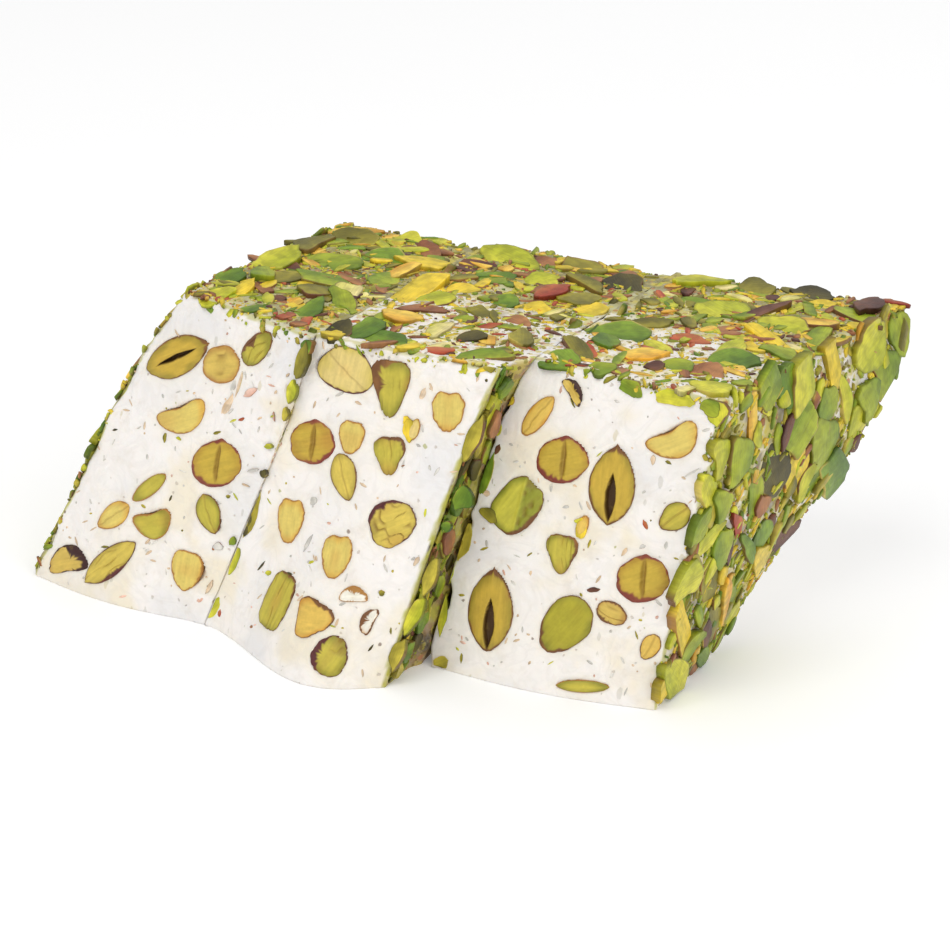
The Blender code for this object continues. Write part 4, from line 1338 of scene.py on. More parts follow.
    def build(self, name: str, material: Material) -> None:
        """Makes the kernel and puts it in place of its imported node.

        Args:
            name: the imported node's name.
            material: the finish of its slot.
        """
        bar = self.nougat.shape
        angle = np.arange(self.sides) * 2.0 * math.pi / self.sides
        outline = kernel_outline(self.kernel, angle) * self.unevenness(angle)[:, None]
        scale = (np.arange(self.rings + 1) / self.rings) ** self.ring_power
        flat = scale[:, None, None] * outline
        depth, dark = self.mark(flat)
        ring = np.broadcast_to(scale[:, None], depth.shape)
        height = self.proud - self.drop * ring ** self.drop_power - depth
        height = height + self.ripple * self.waves(flat[..., 0], flat[..., 1], 0.9, 3)
        direction = np.broadcast_to(np.arctan2(outline[:, 1], outline[:, 0]), depth.shape)
        edge = (1.0 - ring) * np.linalg.norm(outline, axis=-1)
        tint = self.colours(flat, ring, direction, edge, dark)
        walls = np.array(self.walls)
        wall_flat = walls[:, :1, None] * outline
        skin = np.array((self.kernel.skin or self.kind().skin).value)
        wall_height = np.repeat(walls[:, 1], self.sides)
        shade = np.tile(skin, (len(wall_height), 1))
        flat = np.concatenate([flat[:1, 0], flat[1:].reshape(-1, 2), wall_flat.reshape(-1, 2),
                               np.zeros((1, 2))])
        height = np.concatenate([height[:1, 0], height[1:].ravel(), wall_height, walls[-1:, 1]])
        tint = np.concatenate([tint[:1, 0], tint[1:].reshape(-1, 3), shade, shade[:1]])
        spot = np.array(kernel_spot(bar, self.kernel))
        _, slopes = bar.face_frame(self.face, spot[:1], spot[1:])
        fractions = spot + flat @ np.linalg.inv(slopes[0]).T
        points = bar.face_point(self.face, fractions[:, 0], fractions[:, 1])
        outward = -1.0 if self.face is Face.FRONT else 1.0
        points[:, 1] += outward * (height + cut_height(points))
        grain = turned(flat, -self.kernel.turn) + 7.3 * (self.seed % 89)
        faces = ring_faces(self.rings + len(walls), self.sides)
        if self.face is Face.BACK:
            faces = [face[:, ::-1] for face in faces]
        made = Surface(points, faces, tint, grain).to_object(f"cut_{name}", material)
        put_on_part(made, f"kernel_{self.kind().slot}", (name,))


# -------- Coat of sliced pistachio


@dataclass(frozen=True)
class SliceForm:
    """The rings that make a slice, from its flat top down to what is sunk in the nougat.

    Each ring has its share of the outline and its height as a share of the slice's stand. A last
    ring with height None lies at the slice's foot.
    """

    sides: int
    rings: tuple

    def ring_values(self) -> tuple:
        """The share of the outline and the height of each ring, and 1 where it is the foot."""
        rings = [(share, height or 0.0, height is None) for share, height in self.rings]
        return tuple(np.array(rings, dtype=float).T)


BIG_SLICE = SliceForm(24, ((0.50, 1.0), (0.90, 0.98), (0.975, 0.95), (0.995, 0.88), (1.0, 0.74),
                           (0.98, None)))
SMALL_SLICE = SliceForm(12, ((0.90, 0.97), (1.00, 0.75), (0.97, None)))
CHIP = SliceForm(7, ((0.85, 1.0), (1.00, None)))
CRUMB = SliceForm(5, ((0.75, 1.0), (1.00, None)))

# How far slices warp, in millimetres, how far apart they lie in the noise and in the grain, and how
# far from the rims of a joint's side they end.
SLICE_WARP = 0.20
NOISE_APART = 40.0
GRAIN_APART = 548.0
SIDE_MARGIN = 0.015


@dataclass
class Slices:
    """Many slices on one face of a bar, with a row of each array for each slice.

    spot is the place in the face's fractions, size is length, breadth and stand, turn is in
    radians, tilt is the slope along and across the face, colour is body, far side and skin, and
    chance is eight random numbers that vary the form.
    """

    face: Face
    spot: Array
    size: Array
    turn: Array
    tilt: Array
    colour: Array
    chance: Array

    def keep(self, wanted: Array) -> "Slices":
        """Only the slices that are wanted."""
        return Slices(self.face, self.spot[wanted], self.size[wanted], self.turn[wanted],
                      self.tilt[wanted], self.colour[wanted], self.chance[wanted])


def slice_outline(angle: Array, chance: Array) -> tuple[Array, Array]:
    """Outlines of slices, in a square from -1 to 1.

    A leaf is an ellipse with tips, a moon is a leaf cut straight on one side, a slab is a skewed
    superellipse, and a stub is an ellipse cut off at one end. All are a little ragged and bent.

    Args:
        angle: where round the outline, in radians.
        chance: eight random numbers for each slice, with an axis left for the angles.

    Returns:
        The x and y of each slice's outline.
    """
    cosine, sine = np.cos(angle), np.sin(angle)
    steep = np.abs(sine)
    leaf = cosine, sine * steep ** blend(0.25, 0.80, chance[:, 0])
    moon = cosine, np.maximum(leaf[1], -0.35) * 1.3 - 0.3
    slab = (np.sign(cosine) * np.abs(cosine) ** 0.48 + 0.6 * (chance[:, 0] - 0.5) * sine,
            np.sign(sine) * steep ** 0.48)
    stub = np.minimum(cosine, blend(0.35, 0.8, chance[:, 0])) * 1.2 + 0.1, sine * steep ** 0.1
    form = chance[:, 3]
    x, y = (np.where(form < 0.34, one, np.where(form < 0.58, two, np.where(form < 0.80, three, four)))
            for one, two, three, four in zip(leaf, moon, slab, stub))
    ragged = (1.0 + 0.07 * np.sin(3.0 * angle + 6.28 * chance[:, 1])
              + 0.05 * np.sin(5.0 * angle + 6.28 * chance[:, 2])
              + 0.03 * np.sin(8.0 * angle + 6.28 * chance[:, 5]))
    bend = 0.5 * (chance[:, 4] - 0.5) * (cosine ** 2 - 0.5)
    return x * ragged, y * ragged + bend


def shaped(index: int, slices: Slices, form: SliceForm, sink: float = 0.7) -> Surface:
    """The surface of many slices.

    A slice's rings shrink from its outline, and their heights follow its tilt and the nougat
    below. Slices in a joint end at the cut faces, and those on a cut face end at the top.

    Args:
        index: the number of the bar that they lie on.
        slices: the slices.
        form: the rings that they are made of.
        sink: how far their feet are sunk in the nougat.

    Returns:
        All of them as one surface.
    """
    bar, count = BARS[index], len(slices.spot)
    angle = np.arange(form.sides) * 2.0 * math.pi / form.sides
    length, breadth, stand = (slices.size[:, i, None] for i in range(3))
    x, y = slice_outline(angle, slices.chance[:, :, None])
    outline = np.stack([0.5 * length * x, 0.5 * breadth * y], axis=-1)
    cosine, sine = np.cos(slices.turn), np.sin(slices.turn)
    rotation = np.stack([np.stack([cosine, sine], axis=-1), np.stack([-sine, cosine], axis=-1)],
                        axis=-2)
    scale, level, foot = form.ring_values()
    pole = np.zeros((count, 1, 2))
    rings = scale[None, :, None, None] * outline[:, None]
    own = np.concatenate([pole, rings.reshape(count, -1, 2), pole], axis=1)
    flat = own @ rotation
    tilt = (flat[:, 1:-1] * slices.tilt[:, None]).sum(-1).reshape(rings.shape[:3])
    place = own[:, 1:-1].reshape(rings.shape) + NOISE_APART * slices.chance[:, None, None, 1:3]
    warp = SLICE_WARP * flat_noise(place[..., 0], place[..., 1], 2.4, 7)
    warp = warp * np.minimum(stand, 1.0)[:, :, None]
    tall = stand[:, :, None] * level[None, :, None] + tilt + warp
    low = -sink + np.minimum(tilt, 0.0) * 0.5
    height = np.where(foot[None, :, None] > 0.5, low, np.maximum(tall, low + 0.1))
    height = np.concatenate([stand * level[0], height.reshape(count, -1), np.full((count, 1), -sink)],
                            axis=1)
    lie = cut_height if slices.face in KERNELS else crust_height
    ground = lie(bar.face_point(slices.face, *slices.spot.T))
    height = height + ground[:, None]
    normal, slopes = bar.face_frame(slices.face, *slices.spot.T)
    fractions = slices.spot[:, None] + np.einsum("nij,npj->npi", np.linalg.inv(slopes), flat)
    if slices.face in KERNELS:
        fractions[..., 1] = np.minimum(fractions[..., 1], 1.0)
    elif slices.face is not Face.TOP and not bar.open_sides[int(slices.face is Face.RIGHT)]:
        fractions[..., 0] = np.clip(fractions[..., 0], SIDE_MARGIN, 1.0 - SIDE_MARGIN)
    base = bar.face_point(slices.face, fractions[..., 0], fractions[..., 1])
    points = base + height[..., None] * normal[:, None]
    tint = slice_colours(slices, form, own)
    grain = own + GRAIN_APART * slices.chance[:, None, :2]
    numbers = np.arange(count)[:, None, None] * points.shape[1]
    faces = [(face[None] + numbers).reshape(-1, face.shape[1])
             for face in ring_faces(len(form.rings), form.sides)]
    if slices.face in (Face.LEFT, Face.BACK):
        faces = [face[:, ::-1] for face in faces]
    points = keep_to_own_half(index, points.reshape(-1, 3))
    return Surface(points, faces, tint.reshape(-1, 3), grain.reshape(-1, 2))


def slice_colours(slices: Slices, form: SliceForm, own: Array) -> Array:
    """The painted colours of slices.

    The body colour runs into the far-side colour across the slice. On most slices the rim is
    darkened as painted shade, and on the rest it is a little lighter; the wall below it is
    darkened as painted shade, and skin runs along a part of most rims.

    Args:
        slices: the slices.
        form: the rings that they are made of.
        own: each point's place along and across its slice.

    Returns:
        A colour for each point of each slice.
    """
    body, far, skin = (slices.colour[:, None, i] for i in range(3))
    chance = slices.chance[:, :, None]
    x, y = np.moveaxis(own / (0.5 * slices.size[:, None, :2]), -1, 0)
    side = np.where(chance[:, 6] > 0.5, 1.0, -1.0)
    lean = (y + 0.6 * x * (chance[:, 5] - 0.5)) * side
    share = ease(-0.9, 0.8, lean + 0.9 * (chance[:, 7] - 0.5))
    colour = blend(body, far, share[..., None])
    scale, _, wall = (np.concatenate([[0.0], np.repeat(values, form.sides), [1.0]])
                      for values in form.ring_values())
    rim = ease(0.89, 1.0, scale) * (1.0 - wall)
    # Painted shade darkens the rim of most slices, and the rest have a lighter rim.
    rim_shading = np.where(chance[:, 1] > 0.30, -0.42, 0.16) * rim[None, :]
    # The wall down to the foot is darkened as painted shade.
    colour = colour * (1.06 + rim_shading - 0.62 * wall[None, :])[..., None]
    arc = np.cos(np.arctan2(y, x) - (1.57 + 0.9 * (chance[:, 5] - 0.5)) * side)
    on_arc = 0.85 * ease(0.15, 0.5, arc - 1.1 * chance[:, 2] + 0.15)
    edge = on_arc * ease(0.95, 0.98, scale)[None, :]
    return blend(colour, skin, edge[..., None])


def with_skins(colours: Array, draw: np.random.Generator) -> Array:
    """Body and far-side colours of slices, with a skin drawn for each."""
    skins = np.array(SLICE_SKINS)[draw.integers(len(SLICE_SKINS), size=len(colours))]
    return np.concatenate([colours, skins[:, None]], axis=1)


class Mix(Enum):
    """How often each colour comes in a part of the coat."""

    TOP = {EMERALD: 9, LEAF: 18, LIME: 14, OLIVE: 18, YELLOW: 14, GOLD: 7,
           PALE: 4, BROWN: 10, RED: 4, PURPLE: 5}
    SIDE = {EMERALD: 6, LEAF: 28, LIME: 24, OLIVE: 12, MOSS: 8, YELLOW: 13,
            GOLD: 5, BROWN: 6, PURPLE: 3}
    GAP = {DARK: 16, OLIVE: 24, LEAF: 24, LIME: 12, YELLOW: 8, EMERALD: 8,
           BROWN: 8, PURPLE: 4}
    CHIPS = {EMERALD: 3, LEAF: 14, LIME: 14, OLIVE: 14, YELLOW: 17, GOLD: 12,
             PALE: 7, BROWN: 12, RED: 6, PURPLE: 5}
    RIM = {LIME: 30, LEAF: 22, YELLOW: 14, MOSS: 14, OLIVE: 6, EMERALD: 6,
           BROWN: 4}
    FLECKS = {GREY: 44, TAN: 30, ROSE: 8, MOSS: 8, OLIVE: 3, LIME: 5,
              BROWN: 1, DARK: 1}

    def pick(self, draw: np.random.Generator, count: int) -> Array:
        """Colours for some slices: body, far side and skin for each, varied a little."""
        nuts = list(self.value)
        weight = np.array([self.value[nut] for nut in nuts], dtype=float)
        chosen = draw.choice(len(nuts), size=count, p=weight / weight.sum())
        table = np.array([nut.value for nut in nuts])
        return with_skins(table[chosen] * (1.0 + 0.22 * (draw.random((count, 1, 1)) - 0.5)), draw)


# Slices and bits with places of their own, by bar and face. Each row is the face's two fractions in
# thousandths, length, breadth, turn in degrees, and colours.

LAID_STAND = {Face.TOP: (0.15, 0.55), Face.RIGHT: (0.4, 1.0), Face.FRONT: (0.15, 0.4)}
LAID = {
    ("left", Face.TOP): (
        (190, 40, 6.8, 5, 89, LIME), (80, 190, 7.4, 5, -89, EMERALD), (270, 110, 9.5, 3, -87, YELLOW),
        (120, 440, 13.4, 6, 88, LIME), (250, 440, 3.9, 4, 13, PURPLE), (520, 170, 3.2, 2.5, 85, PURPLE),
        (630, 190, 2.8, 3, -90, GOLD), (380, 560, 13.5, 6.5, 26, LEAF), (270, 820, 8.1, 8.5, 41, OLIVE),
        (630, 730, 8.4, 6, 12, EMERALD), (550, 930, 4.9, 6, 8, LIME), (770, 870, 4.6, 6.5, 41, BROWN),
        (880, 290, 11.8, 4.2, -43, LEAF), (800, 360, 6.3, 5, -69, PALE),
        (800, 150, 9, 4.5, -83, EMERALD),
    ),
    ("middle", Face.TOP): (
        (70, 760, 6.9, 7, 49, PURPLE), (170, 870, 13.2, 7, -22, LIME), (270, 700, 7.8, 4, 50, EMERALD),
        (40, 470, 12.4, 5, 80, YELLOW), (190, 430, 7.1, 5, 51, LIME), (230, 540, 6.3, 4.5, 59, YELLOW),
        (520, 520, 4.7, 5, 20, EMERALD), (30, 50, 6.6, 4.5, 87, DARK), (130, 90, 7.7, 4.5, 71, EMERALD),
        (300, 60, 7.6, 5.5, -9, EMERALD), (630, 300, 4.7, 2, 49, RED), (650, 190, 5.1, 3.5, 41, DARK),
        (830, 70, 9.6, 4, 26, LEAF), (470, 320, 3.1, 3.5, 68, LEAF), (490, 400, 2.7, 4.5, 52, OLIVE),
        (730, 380, 5.4, 3.5, -20, BROWN), (520, 740, 6.6, 6.5, 54, LIME), (380, 900, 4.6, 5, 65, BROWN),
        (590, 900, 6.6, 8, -5, OLIVE), (920, 850, 7.9, 7, -52, DARK), (720, 510, 4.9, 4, 2, YELLOW),
        (980, 580, 4.7, 3.5, 55, YELLOW),
    ),
    ("right", Face.TOP): (
        (50, 30, 6.1, 6.5, -35, EMERALD), (120, 340, 10.8, 7.5, 15, EMERALD),
        (440, 400, 6.6, 3, 7, RED), (170, 470, 8.2, 3.5, 21, OLIVE), (390, 680, 10.2, 8.5, -29, LIME),
        (220, 720, 8.6, 4, 1, LEAF), (540, 720, 12.3, 2.5, 62, PURPLE), (710, 640, 9.1, 8, -9, LIME),
        (760, 510, 13.5, 3, -39, YELLOW), (750, 290, 9, 7.5, 54, EMERALD),
        (730, 180, 5.9, 6, 90, BROWN), (500, 120, 3.3, 3, 36, PURPLE), (570, 170, 5.8, 4.5, 27, LEAF),
        (290, 30, 4.4, 4, 14, LEAF), (90, 110, 11.8, 3.5, -45, OLIVE), (100, 140, 5.8, 3, -31, RED),
        (360, 940, 6.5, 7, 16, OLIVE), (600, 970, 7.4, 5, -4, DARK), (700, 890, 4.7, 4, 13, YELLOW),
    ),
    ("right", Face.RIGHT): (
        (240, 970, 6.4, 6, -54, LEAF), (340, 950, 8.1, 6, -71, EMERALD),
        (420, 930, 8.9, 6.5, -77, LIME), (580, 940, 9.6, 3.4, -70, YELLOW),
        (710, 810, 9.8, 3.2, -71, LIME), (790, 940, 10.9, 9, 24, LIME), (960, 930, 8.3, 7, -71, LEAF),
        (920, 830, 8.6, 8.5, -73, LEAF), (870, 770, 7.9, 7, -56, LEAF), (610, 820, 6.8, 6, -56, LEAF),
        (400, 790, 6.2, 3, 71, PURPLE), (490, 770, 8.4, 7, 46, LEAF), (690, 680, 11.1, 9, -69, LEAF),
        (930, 530, 12.5, 6, -45, EMERALD), (880, 690, 8.4, 6, -84, LIME), (420, 670, 12, 8, -52, DARK),
        (570, 620, 8.8, 7, -52, YELLOW), (180, 900, 9.8, 2.5, -80, GOLD), (150, 780, 8.4, 7, -86, LEAF),
        (40, 820, 7.7, 5, -70, LIME), (340, 610, 12.5, 4.5, -73, LEAF), (410, 560, 4.3, 4, -74, BROWN),
        (20, 710, 7.9, 4, -59, LIME), (110, 650, 6.8, 4.5, -63, LEAF), (20, 600, 6.8, 4.5, 51, LEAF),
        (90, 530, 10.8, 3.5, 27, LIME), (230, 470, 8.7, 5, -65, LEAF), (290, 460, 9, 2, -64, PURPLE),
        (290, 530, 6.9, 2.5, -57, RED), (480, 410, 11.3, 2.5, -46, EMERALD),
        (560, 430, 6.5, 6, -59, EMERALD), (740, 310, 12.5, 5, -41, YELLOW), (20, 420, 9, 7, 4, LIME),
        (240, 360, 9.1, 5, -62, OLIVE), (90, 250, 12.4, 4, -54, YELLOW),
        (530, 170, 11.3, 4.5, -54, OLIVE), (510, 240, 12.5, 2.5, -64, GOLD),
        (470, 140, 7.2, 3, -52, PURPLE), (680, 200, 3.6, 5, -86, LEAF), (170, 70, 12.5, 7, -43, LIME),
        (640, 40, 9.7, 4, -37, EMERALD), (520, 30, 7.9, 2.5, -48, BROWN), (20, 70, 3.8, 4, 11, YELLOW),
    ),
    ("right", Face.FRONT): (
        (510, 980, 4, 3.4, -17, LEAF), (750, 980, 6.6, 3, 5, LIME), (950, 980, 3.3, 3.4, -17, LEAF),
        (980, 970, 4.6, 3.8, -76, LIME),
    ),
}

BITS = {
    ("left", Face.FRONT): (
        (695, 785, 4.4, 0.6, -97, TAN), (786, 772, 3.1, 1.2, 38, ROSE), (684, 711, 3.7, 1.3, 66, TAN),
        (663, 774, 1.8, 1, 74, GREY), (804, 682, 1.3, 0.5, 30, RED), (757, 669, 1.5, 0.4, 34, LIME),
        (408, 553, 1.6, 0.7, 96, OLIVE), (492, 564, 1.1, 0.5, -9, LIME),
        (697, 618, 1.6, 0.5, 27, OLIVE), (848, 872, 1.3, 0.35, 54, GREY),
        (1030, 626, 1.6, 0.9, 15, LIME), (995, 536, 2.2, 0.5, 24, GREY),
        (919, 433, 0.9, 0.6, 17, OLIVE), (979, 265, 2, 1.3, 13, GREY), (1024, 127, 2.7, 0.7, 68, TAN),
        (1001, 77, 1.3, 0.7, 36, ROSE), (1040, 921, 6.2, 2.4, -100, OLIVE),
        (1045, 968, 2.7, 2.2, -114, EMERALD), (1045, 817, 3.8, 2, -92, LIME),
        (1055, 742, 2.3, 1.2, -89, MOSS), (1065, 537, 1.4, 1.2, -94, DARK),
        (1045, 295, 1.6, 1.2, -118, LEAF),
    ),
    ("middle", Face.FRONT): (
        (-20, 527, 1.1, 0.9, 1, DARK), (-34, 291, 2.2, 1, 14, MOSS), (4, 230, 5, 1.6, 77, LIME),
        (-3, 59, 4.6, 1.8, 59, LIME), (662, 769, 3.7, 1.9, 104, YELLOW),
        (632, 796, 1.7, 1.4, 151, YELLOW), (-8, 391, 8.5, 2.3, 77, MOSS), (-9, 358, 4.1, 1.9, 86, DARK),
        (44, 54, 1.3, 0.8, 92, RED), (-19, 632, 1.4, 1, 12, ROSE), (308, 493, 1.5, 1.2, 55, GREY),
        (374, 371, 3.1, 0.7, 76, GREY), (167, 249, 2.2, 0.4, 60, DARK), (347, 267, 1.2, 0.4, 3, DARK),
        (223, 239, 1.4, 0.8, 19, LIME), (655, 883, 1.9, 0.9, 76, TAN), (953, 959, 0.5, 0.5, -22, DARK),
        (802, 969, 0.8, 0.5, 0, LIME), (897, 668, 1.6, 0.4, 62, GREY), (956, 395, 1.7, 0.7, 63, TAN),
        (852, 291, 1, 1, 19, OLIVE), (1046, 514, 1.7, 1.7, 10, EMERALD),
        (1017, 783, 7.8, 2.4, 75, MOSS), (1081, 605, 4, 3.4, 73, EMERALD),
        (1047, 358, 6.1, 2.2, 82, MOSS), (1031, 233, 6.7, 2.2, 72, LIME),
        (1014, 107, 5.5, 2.2, 80, MOSS), (938, 1002, 2, 2, 22, MOSS),
    ),
    ("middle", Face.RIGHT): (
        (30, 780, 8.5, 2.8, -74, MOSS), (100, 800, 6, 3.6, -70, BROWN), (90, 660, 5, 3.2, -60, DARK),
        (50, 570, 4.8, 4.4, -40, EMERALD), (30, 500, 2.4, 2.4, 0, EMERALD),
        (80, 440, 6, 3.4, -66, BROWN), (30, 360, 7.5, 2.6, -70, MOSS), (90, 310, 5, 3, -60, DARK),
        (30, 210, 7.5, 2.4, -56, LIME), (80, 190, 4.8, 3.8, -30, EMERALD),
        (50, 100, 4.4, 3.8, -50, EMERALD), (110, 110, 4, 3.2, -60, DARK), (20, 50, 5, 3, -20, MOSS),
        (60, 930, 4.4, 3.6, 0, EMERALD), (30, 870, 3.4, 2.4, -40, OLIVE), (130, 700, 5, 3, -70, LEAF),
        (140, 520, 5, 3, -60, OLIVE), (130, 280, 5, 3.2, -66, LEAF),
    ),
    ("right", Face.FRONT): (
        (395, 578, 1.1, 0.5, 19, GREY), (738, 778, 1.6, 0.8, 94, TAN), (812, 781, 1.1, 0.5, -13, OLIVE),
        (931, 766, 3.1, 0.4, 40, GREY), (775, 577, 1.6, 0.7, -56, RED), (785, 508, 1.1, 0.6, 31, GREY),
        (890, 527, 1.3, 0.6, 85, GREY), (12, 563, 1.1, 1, 19, TAN), (490, 522, 3.2, 1.8, 92, YELLOW),
        (477, 546, 2, 1, 18, LIME), (50, 500, 3.6, 2, -23, OLIVE), (615, 347, 2.2, 0.8, 14, PURPLE),
        (101, 50, 1.6, 0.5, 96, OLIVE), (711, 481, 1.6, 0.6, 63, TAN), (-22, 757, 2.1, 1, 72, LIME),
        (3, 701, 1.8, 0.9, 74, PURPLE), (-11, 617, 6.9, 1.6, 80, EMERALD),
        (-28, 402, 6.2, 2.2, 79, MOSS), (-66, 305, 4.1, 1.8, 85, LIME), (-41, 172, 7.3, 1.5, 92, LIME),
        (14, 18, 2.6, 2.6, 31, MOSS), (-27, 855, 2, 2, 41, YELLOW),
    ),
}


def rows_of(table: dict, name: str) -> list[tuple]:
    """Each face that a table has for a bar, with its rows."""
    return [(face, rows) for (bar, face), rows in table.items() if bar == name]


def placed(face: Face, rows: tuple, stand: Array, tilt: Array, looks: np.random.Generator) -> Slices:
    """Slices from the rows of a table.

    Args:
        face: the face that they lie on.
        rows: the rows.
        stand: how far each stands out.
        tilt: the slope of each.
        looks: the source of skins and forms.

    Returns:
        The slices.
    """
    numbers = np.array([row[:5] for row in rows], dtype=float)
    return Slices(face, numbers[:, :2] / 1000.0, np.column_stack([numbers[:, 2:4], stand]),
                  np.radians(numbers[:, 4]), tilt,
                  with_skins(np.array([row[5].value for row in rows]), looks),
                  looks.random((len(rows), 8)))


def drawn_sizes(length: tuple, breadth: tuple, stand: tuple, chance: Array, power: float) -> Array:
    """Sizes within three ranges, by three columns of chance; a power makes most lengths short."""
    return np.stack([blend(*length, chance[:, 0] ** power), blend(*breadth, chance[:, 1]),
                     blend(*stand, chance[:, 2])], axis=-1)


@dataclass(frozen=True)
class Strew:
    """Slices of one form strewn over part of a face.

    per_area is how many come on a square millimetre.
    """

    form: SliceForm
    per_area: float
    length: tuple
    breadth: tuple
    stand: tuple
    slope: float


SMALL_STREW = Strew(SMALL_SLICE, 0.030, (3.0, 6.5), (1.4, 3.0), (0.12, 0.45), 0.08)
CHIP_STREW = Strew(CHIP, 0.20, (1.2, 4.4), (0.4, 1.3), (0.05, 0.26), 0.08)
CRUMB_STREW = Strew(CRUMB, 0.36, (0.3, 1.2), (0.25, 0.7), (0.04, 0.20), 0.05)
FLECK_STREW = Strew(CHIP, 0.085, (0.35, 1.9), (0.25, 0.6), (0.02, 0.06), 0.0)

# How strewn slices lie: their main turn, how far they turn from it and how much thicker they are.
FLAT_LIE = (0.9, 1.0, 1.0)
WALL_LIE = (1.3, 0.6, 1.9)


def strewn(index: int, strew: Strew, face: Face, a_range: tuple, b_range: tuple, share: float,
           draw: np.random.Generator, mix: Mix) -> Slices:
    """Slices strewn over part of a face.

    Args:
        index, face: the bar's number and the face.
        strew, mix: their form, how many there are, and their colours.
        a_range, b_range: the part of the face, in its fractions.
        share: how much thicker or thinner they lie than usual.
        draw: the source of random numbers.

    Returns:
        The slices, their number from the area of the part.
    """
    middle = np.array([0.5 * sum(a_range)]), np.array([0.5 * sum(b_range)])
    _, slopes = BARS[index].face_frame(face, *middle)
    area = abs(float(np.linalg.det(slopes[0])))
    area = area * (a_range[1] - a_range[0]) * (b_range[1] - b_range[0])
    count = max(1, round(strew.per_area * share * area))
    chance = draw.random((count, 8))
    spot = np.stack([blend(*a_range, chance[:, 0]), blend(*b_range, chance[:, 1])], axis=-1)
    size = drawn_sizes(strew.length, strew.breadth, strew.stand, chance[:, 2:5], power=1.4)
    main_turn, spread, thicker = WALL_LIE if face in (Face.LEFT, Face.RIGHT) else FLAT_LIE
    size[:, 2] *= thicker
    turn = main_turn + math.pi * spread * (chance[:, 5] - 0.5)
    tilt = strew.slope * (2.0 * chance[:, 6:8] - 1.0)
    return Slices(face, spot, size, turn, tilt, mix.pick(draw, count), draw.random((count, 8)))


@dataclass(frozen=True)
class Fragments:
    """Bits of nut and skin caught in a bar's nougat, and lumps pressed into a joint.

    leafiness scales the draw of their forms, so that all are leaves.
    """

    nougat: NougatBar
    seed: int = 911
    clearance: float = 0.4
    front_stand: float = 0.12
    wall_stand: float = 0.34
    leafiness: float = 0.33

    def build(self, material: Material) -> None:
        """Makes the bits with places of their own, and flecks strewn clear of the kernels.

        Args:
            material: the coat's finish.
        """
        index, name = BARS.index(self.nougat.shape), self.nougat.shape.name
        draw = np.random.default_rng(self.seed + index)
        parts = []
        for face, rows in rows_of(BITS, name):
            breadth = np.array([row[3] for row in rows])
            stand = breadth * (self.front_stand if face is Face.FRONT else self.wall_stand)
            bits = placed(face, rows, stand, np.zeros((len(rows), 2)), draw)
            bits.chance[:, 3] *= self.leafiness
            parts.append(shaped(index, bits, BIG_SLICE))
        for face, kernels in KERNELS.items():
            flecks = strewn(index, FLECK_STREW, face, (0.01, 0.99), (0.01, 0.97), 1.0, draw,
                            Mix.FLECKS)
            free = np.ones(len(flecks.spot), dtype=bool)
            for kernel in kernels[name]:
                free &= self.nougat.nearness(face, kernel, flecks.spot) > self.clearance
            flecks.chance[:, 3] *= self.leafiness
            parts.append(shaped(index, flecks.keep(free), CHIP, sink=0.2))
        made = Surface.joined(parts).to_object(f"fragments_{name}", material)
        put_on_part(made, "pistachio_coat", ())


